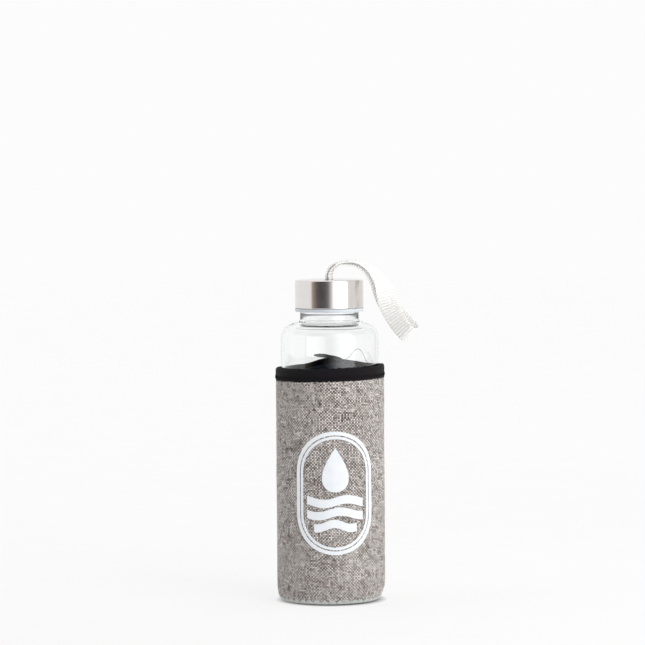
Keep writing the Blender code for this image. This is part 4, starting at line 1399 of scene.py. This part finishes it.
# Radiance round the object by compass angle from the camera, positive towards +X. The camera doesn't see it.
SURROUND = (
    (-61.5, (0.98, 0.92, 0.88)),
    (-60.5, (0.42, 0.33, 0.28)),
    (-52.0, (0.26, 0.20, 0.16)),
    (-42.0, (0.07, 0.055, 0.05)),
    (-30.0, (0.012, 0.012, 0.012)),
    (-18.0, (0.014, 0.014, 0.015)),
    (-4.0, (0.09, 0.088, 0.09)),
    (6.0, (0.60, 0.58, 0.59)),
    (18.0, (1.7, 1.7, 1.7)),
    (30.0, (2.6, 2.6, 2.6)),
    (61.5, (2.6, 2.6, 2.6)),
    (62.5, (0.88, 0.85, 0.84)),
    (150.0, (0.88, 0.86, 0.85)),
)
SURROUND_RADIUS = 0.9
SURROUND_HEIGHT = 1.3
BACKDROP = 0.973
FLOOR_GLOW = 0.725
# Painted shadow under the bottle's foot: no floor glow within this radius, fading back in over the next
# distance.
PAINTED_SHADOW_RADIUS = 29.0
PAINTED_SHADOW_FADE = 9.0


def surround():
    """A curved card that stands round the front of the set: dark flag, softbox and grey reflector in one."""
    first, last = SURROUND[0][0], SURROUND[-1][0]
    columns = 60
    points = []
    for i in range(columns + 1):
        compass = math.radians(CAMERA_AZIMUTH + first + (last - first) * i / columns)
        x, y = math.sin(compass) * SURROUND_RADIUS, -math.cos(compass) * SURROUND_RADIUS
        points += [(x / MM, y / MM, 0.0), (x / MM, y / MM, SURROUND_HEIGHT / MM)]
    faces = [(2 * i, 2 * i + 1, 2 * i + 3, 2 * i + 2) for i in range(columns)]
    s = Shader("surround_light")
    _, (x, y, _) = s.place()
    _, compass = s.polar(x, y)
    degrees = s.mad(compass, 180.0 / math.pi, -CAMERA_AZIMUTH)
    share = s.math("DIVIDE", s.math("SUBTRACT", degrees, first), last - first)
    peak = max(max(colour) for _, colour in SURROUND)
    stops = [((a - first) / (last - first), tuple(c / peak for c in colour)) for a, colour in SURROUND]
    glow = s.node("Emission", {"Color": s.ramp(share, stops), "Strength": peak})
    s.tree.links.new(glow.outputs[0], s.output.inputs["Surface"])
    obj = finish_mesh("surround", points, faces, s.material)
    obj.visible_camera = False
    obj.visible_shadow = False


def floor():
    """A white acrylic table, lit through from below so that shadows stay faint."""
    s = Shader("floor_acrylic")
    where, (x, y, _) = s.place()
    grain = s.noise(where, 0.02, 2.0)
    s.set(Base_Color=s.ramp(grain, [(0.0, (0.24, 0.24, 0.24)), (1.0, (0.26, 0.26, 0.26))]))
    # Painted shadow: the table's glow fades out right under the bottle's foot.
    beyond = s.math("SUBTRACT", s.polar(x, y)[0], PAINTED_SHADOW_RADIUS)
    lit = s.mul(s.math("DIVIDE", beyond, PAINTED_SHADOW_FADE, clamp=True), FLOOR_GLOW)
    s.set(Roughness=0.6, Specular_IOR_Level=0.0, Emission_Color=(1.0, 1.0, 1.0), Emission_Strength=lit)
    slab = [(0.0, 0.0), (400.0, 0.0), (1500.0, 0.0), (6000.0, 0.0), (6000.0, -10.0), (0.0, -10.0)]
    lathe("floor", slab, s.material, 96)


def world():
    made = bpy.data.worlds.new("studio")
    made.use_nodes = True
    sky = made.node_tree.nodes["Background"]
    sky.inputs["Color"].default_value = (1.0, 1.0, 1.0, 1.0)
    sky.inputs["Strength"].default_value = BACKDROP
    bpy.context.scene.world = made


CAMERA_AZIMUTH = -5.0
CAMERA_DISTANCE = 2.14
CAMERA_HEIGHT = 0.2918
FOCAL_MM = 178.6
SENSOR_MM = 36.0
PITCH_DOWN = 2.824
AIM_LEFT = 0.124
ROLL = 0.44


def camera():
    data = bpy.data.cameras.new("camera")
    data.lens = FOCAL_MM
    data.sensor_width = SENSOR_MM
    data.sensor_fit = "HORIZONTAL"
    data.clip_start = 0.05
    data.clip_end = 50.0
    obj = placed("camera", data)
    compass = math.radians(CAMERA_AZIMUTH)
    obj.location = (math.sin(compass) * CAMERA_DISTANCE, -math.cos(compass) * CAMERA_DISTANCE, CAMERA_HEIGHT)
    turn = Matrix.Rotation(compass + math.radians(AIM_LEFT), 4, "Z")
    tilt = Matrix.Rotation(math.radians(90.0 - PITCH_DOWN), 4, "X")
    roll = Matrix.Rotation(math.radians(-ROLL), 4, "Z")
    obj.rotation_euler = (turn @ tilt @ roll).to_euler()
    bpy.context.scene.camera = obj


surround()
floor()
world()
camera()
bpy.context.scene.view_settings.view_transform = "Standard"

bpy.context.view_layer.update()
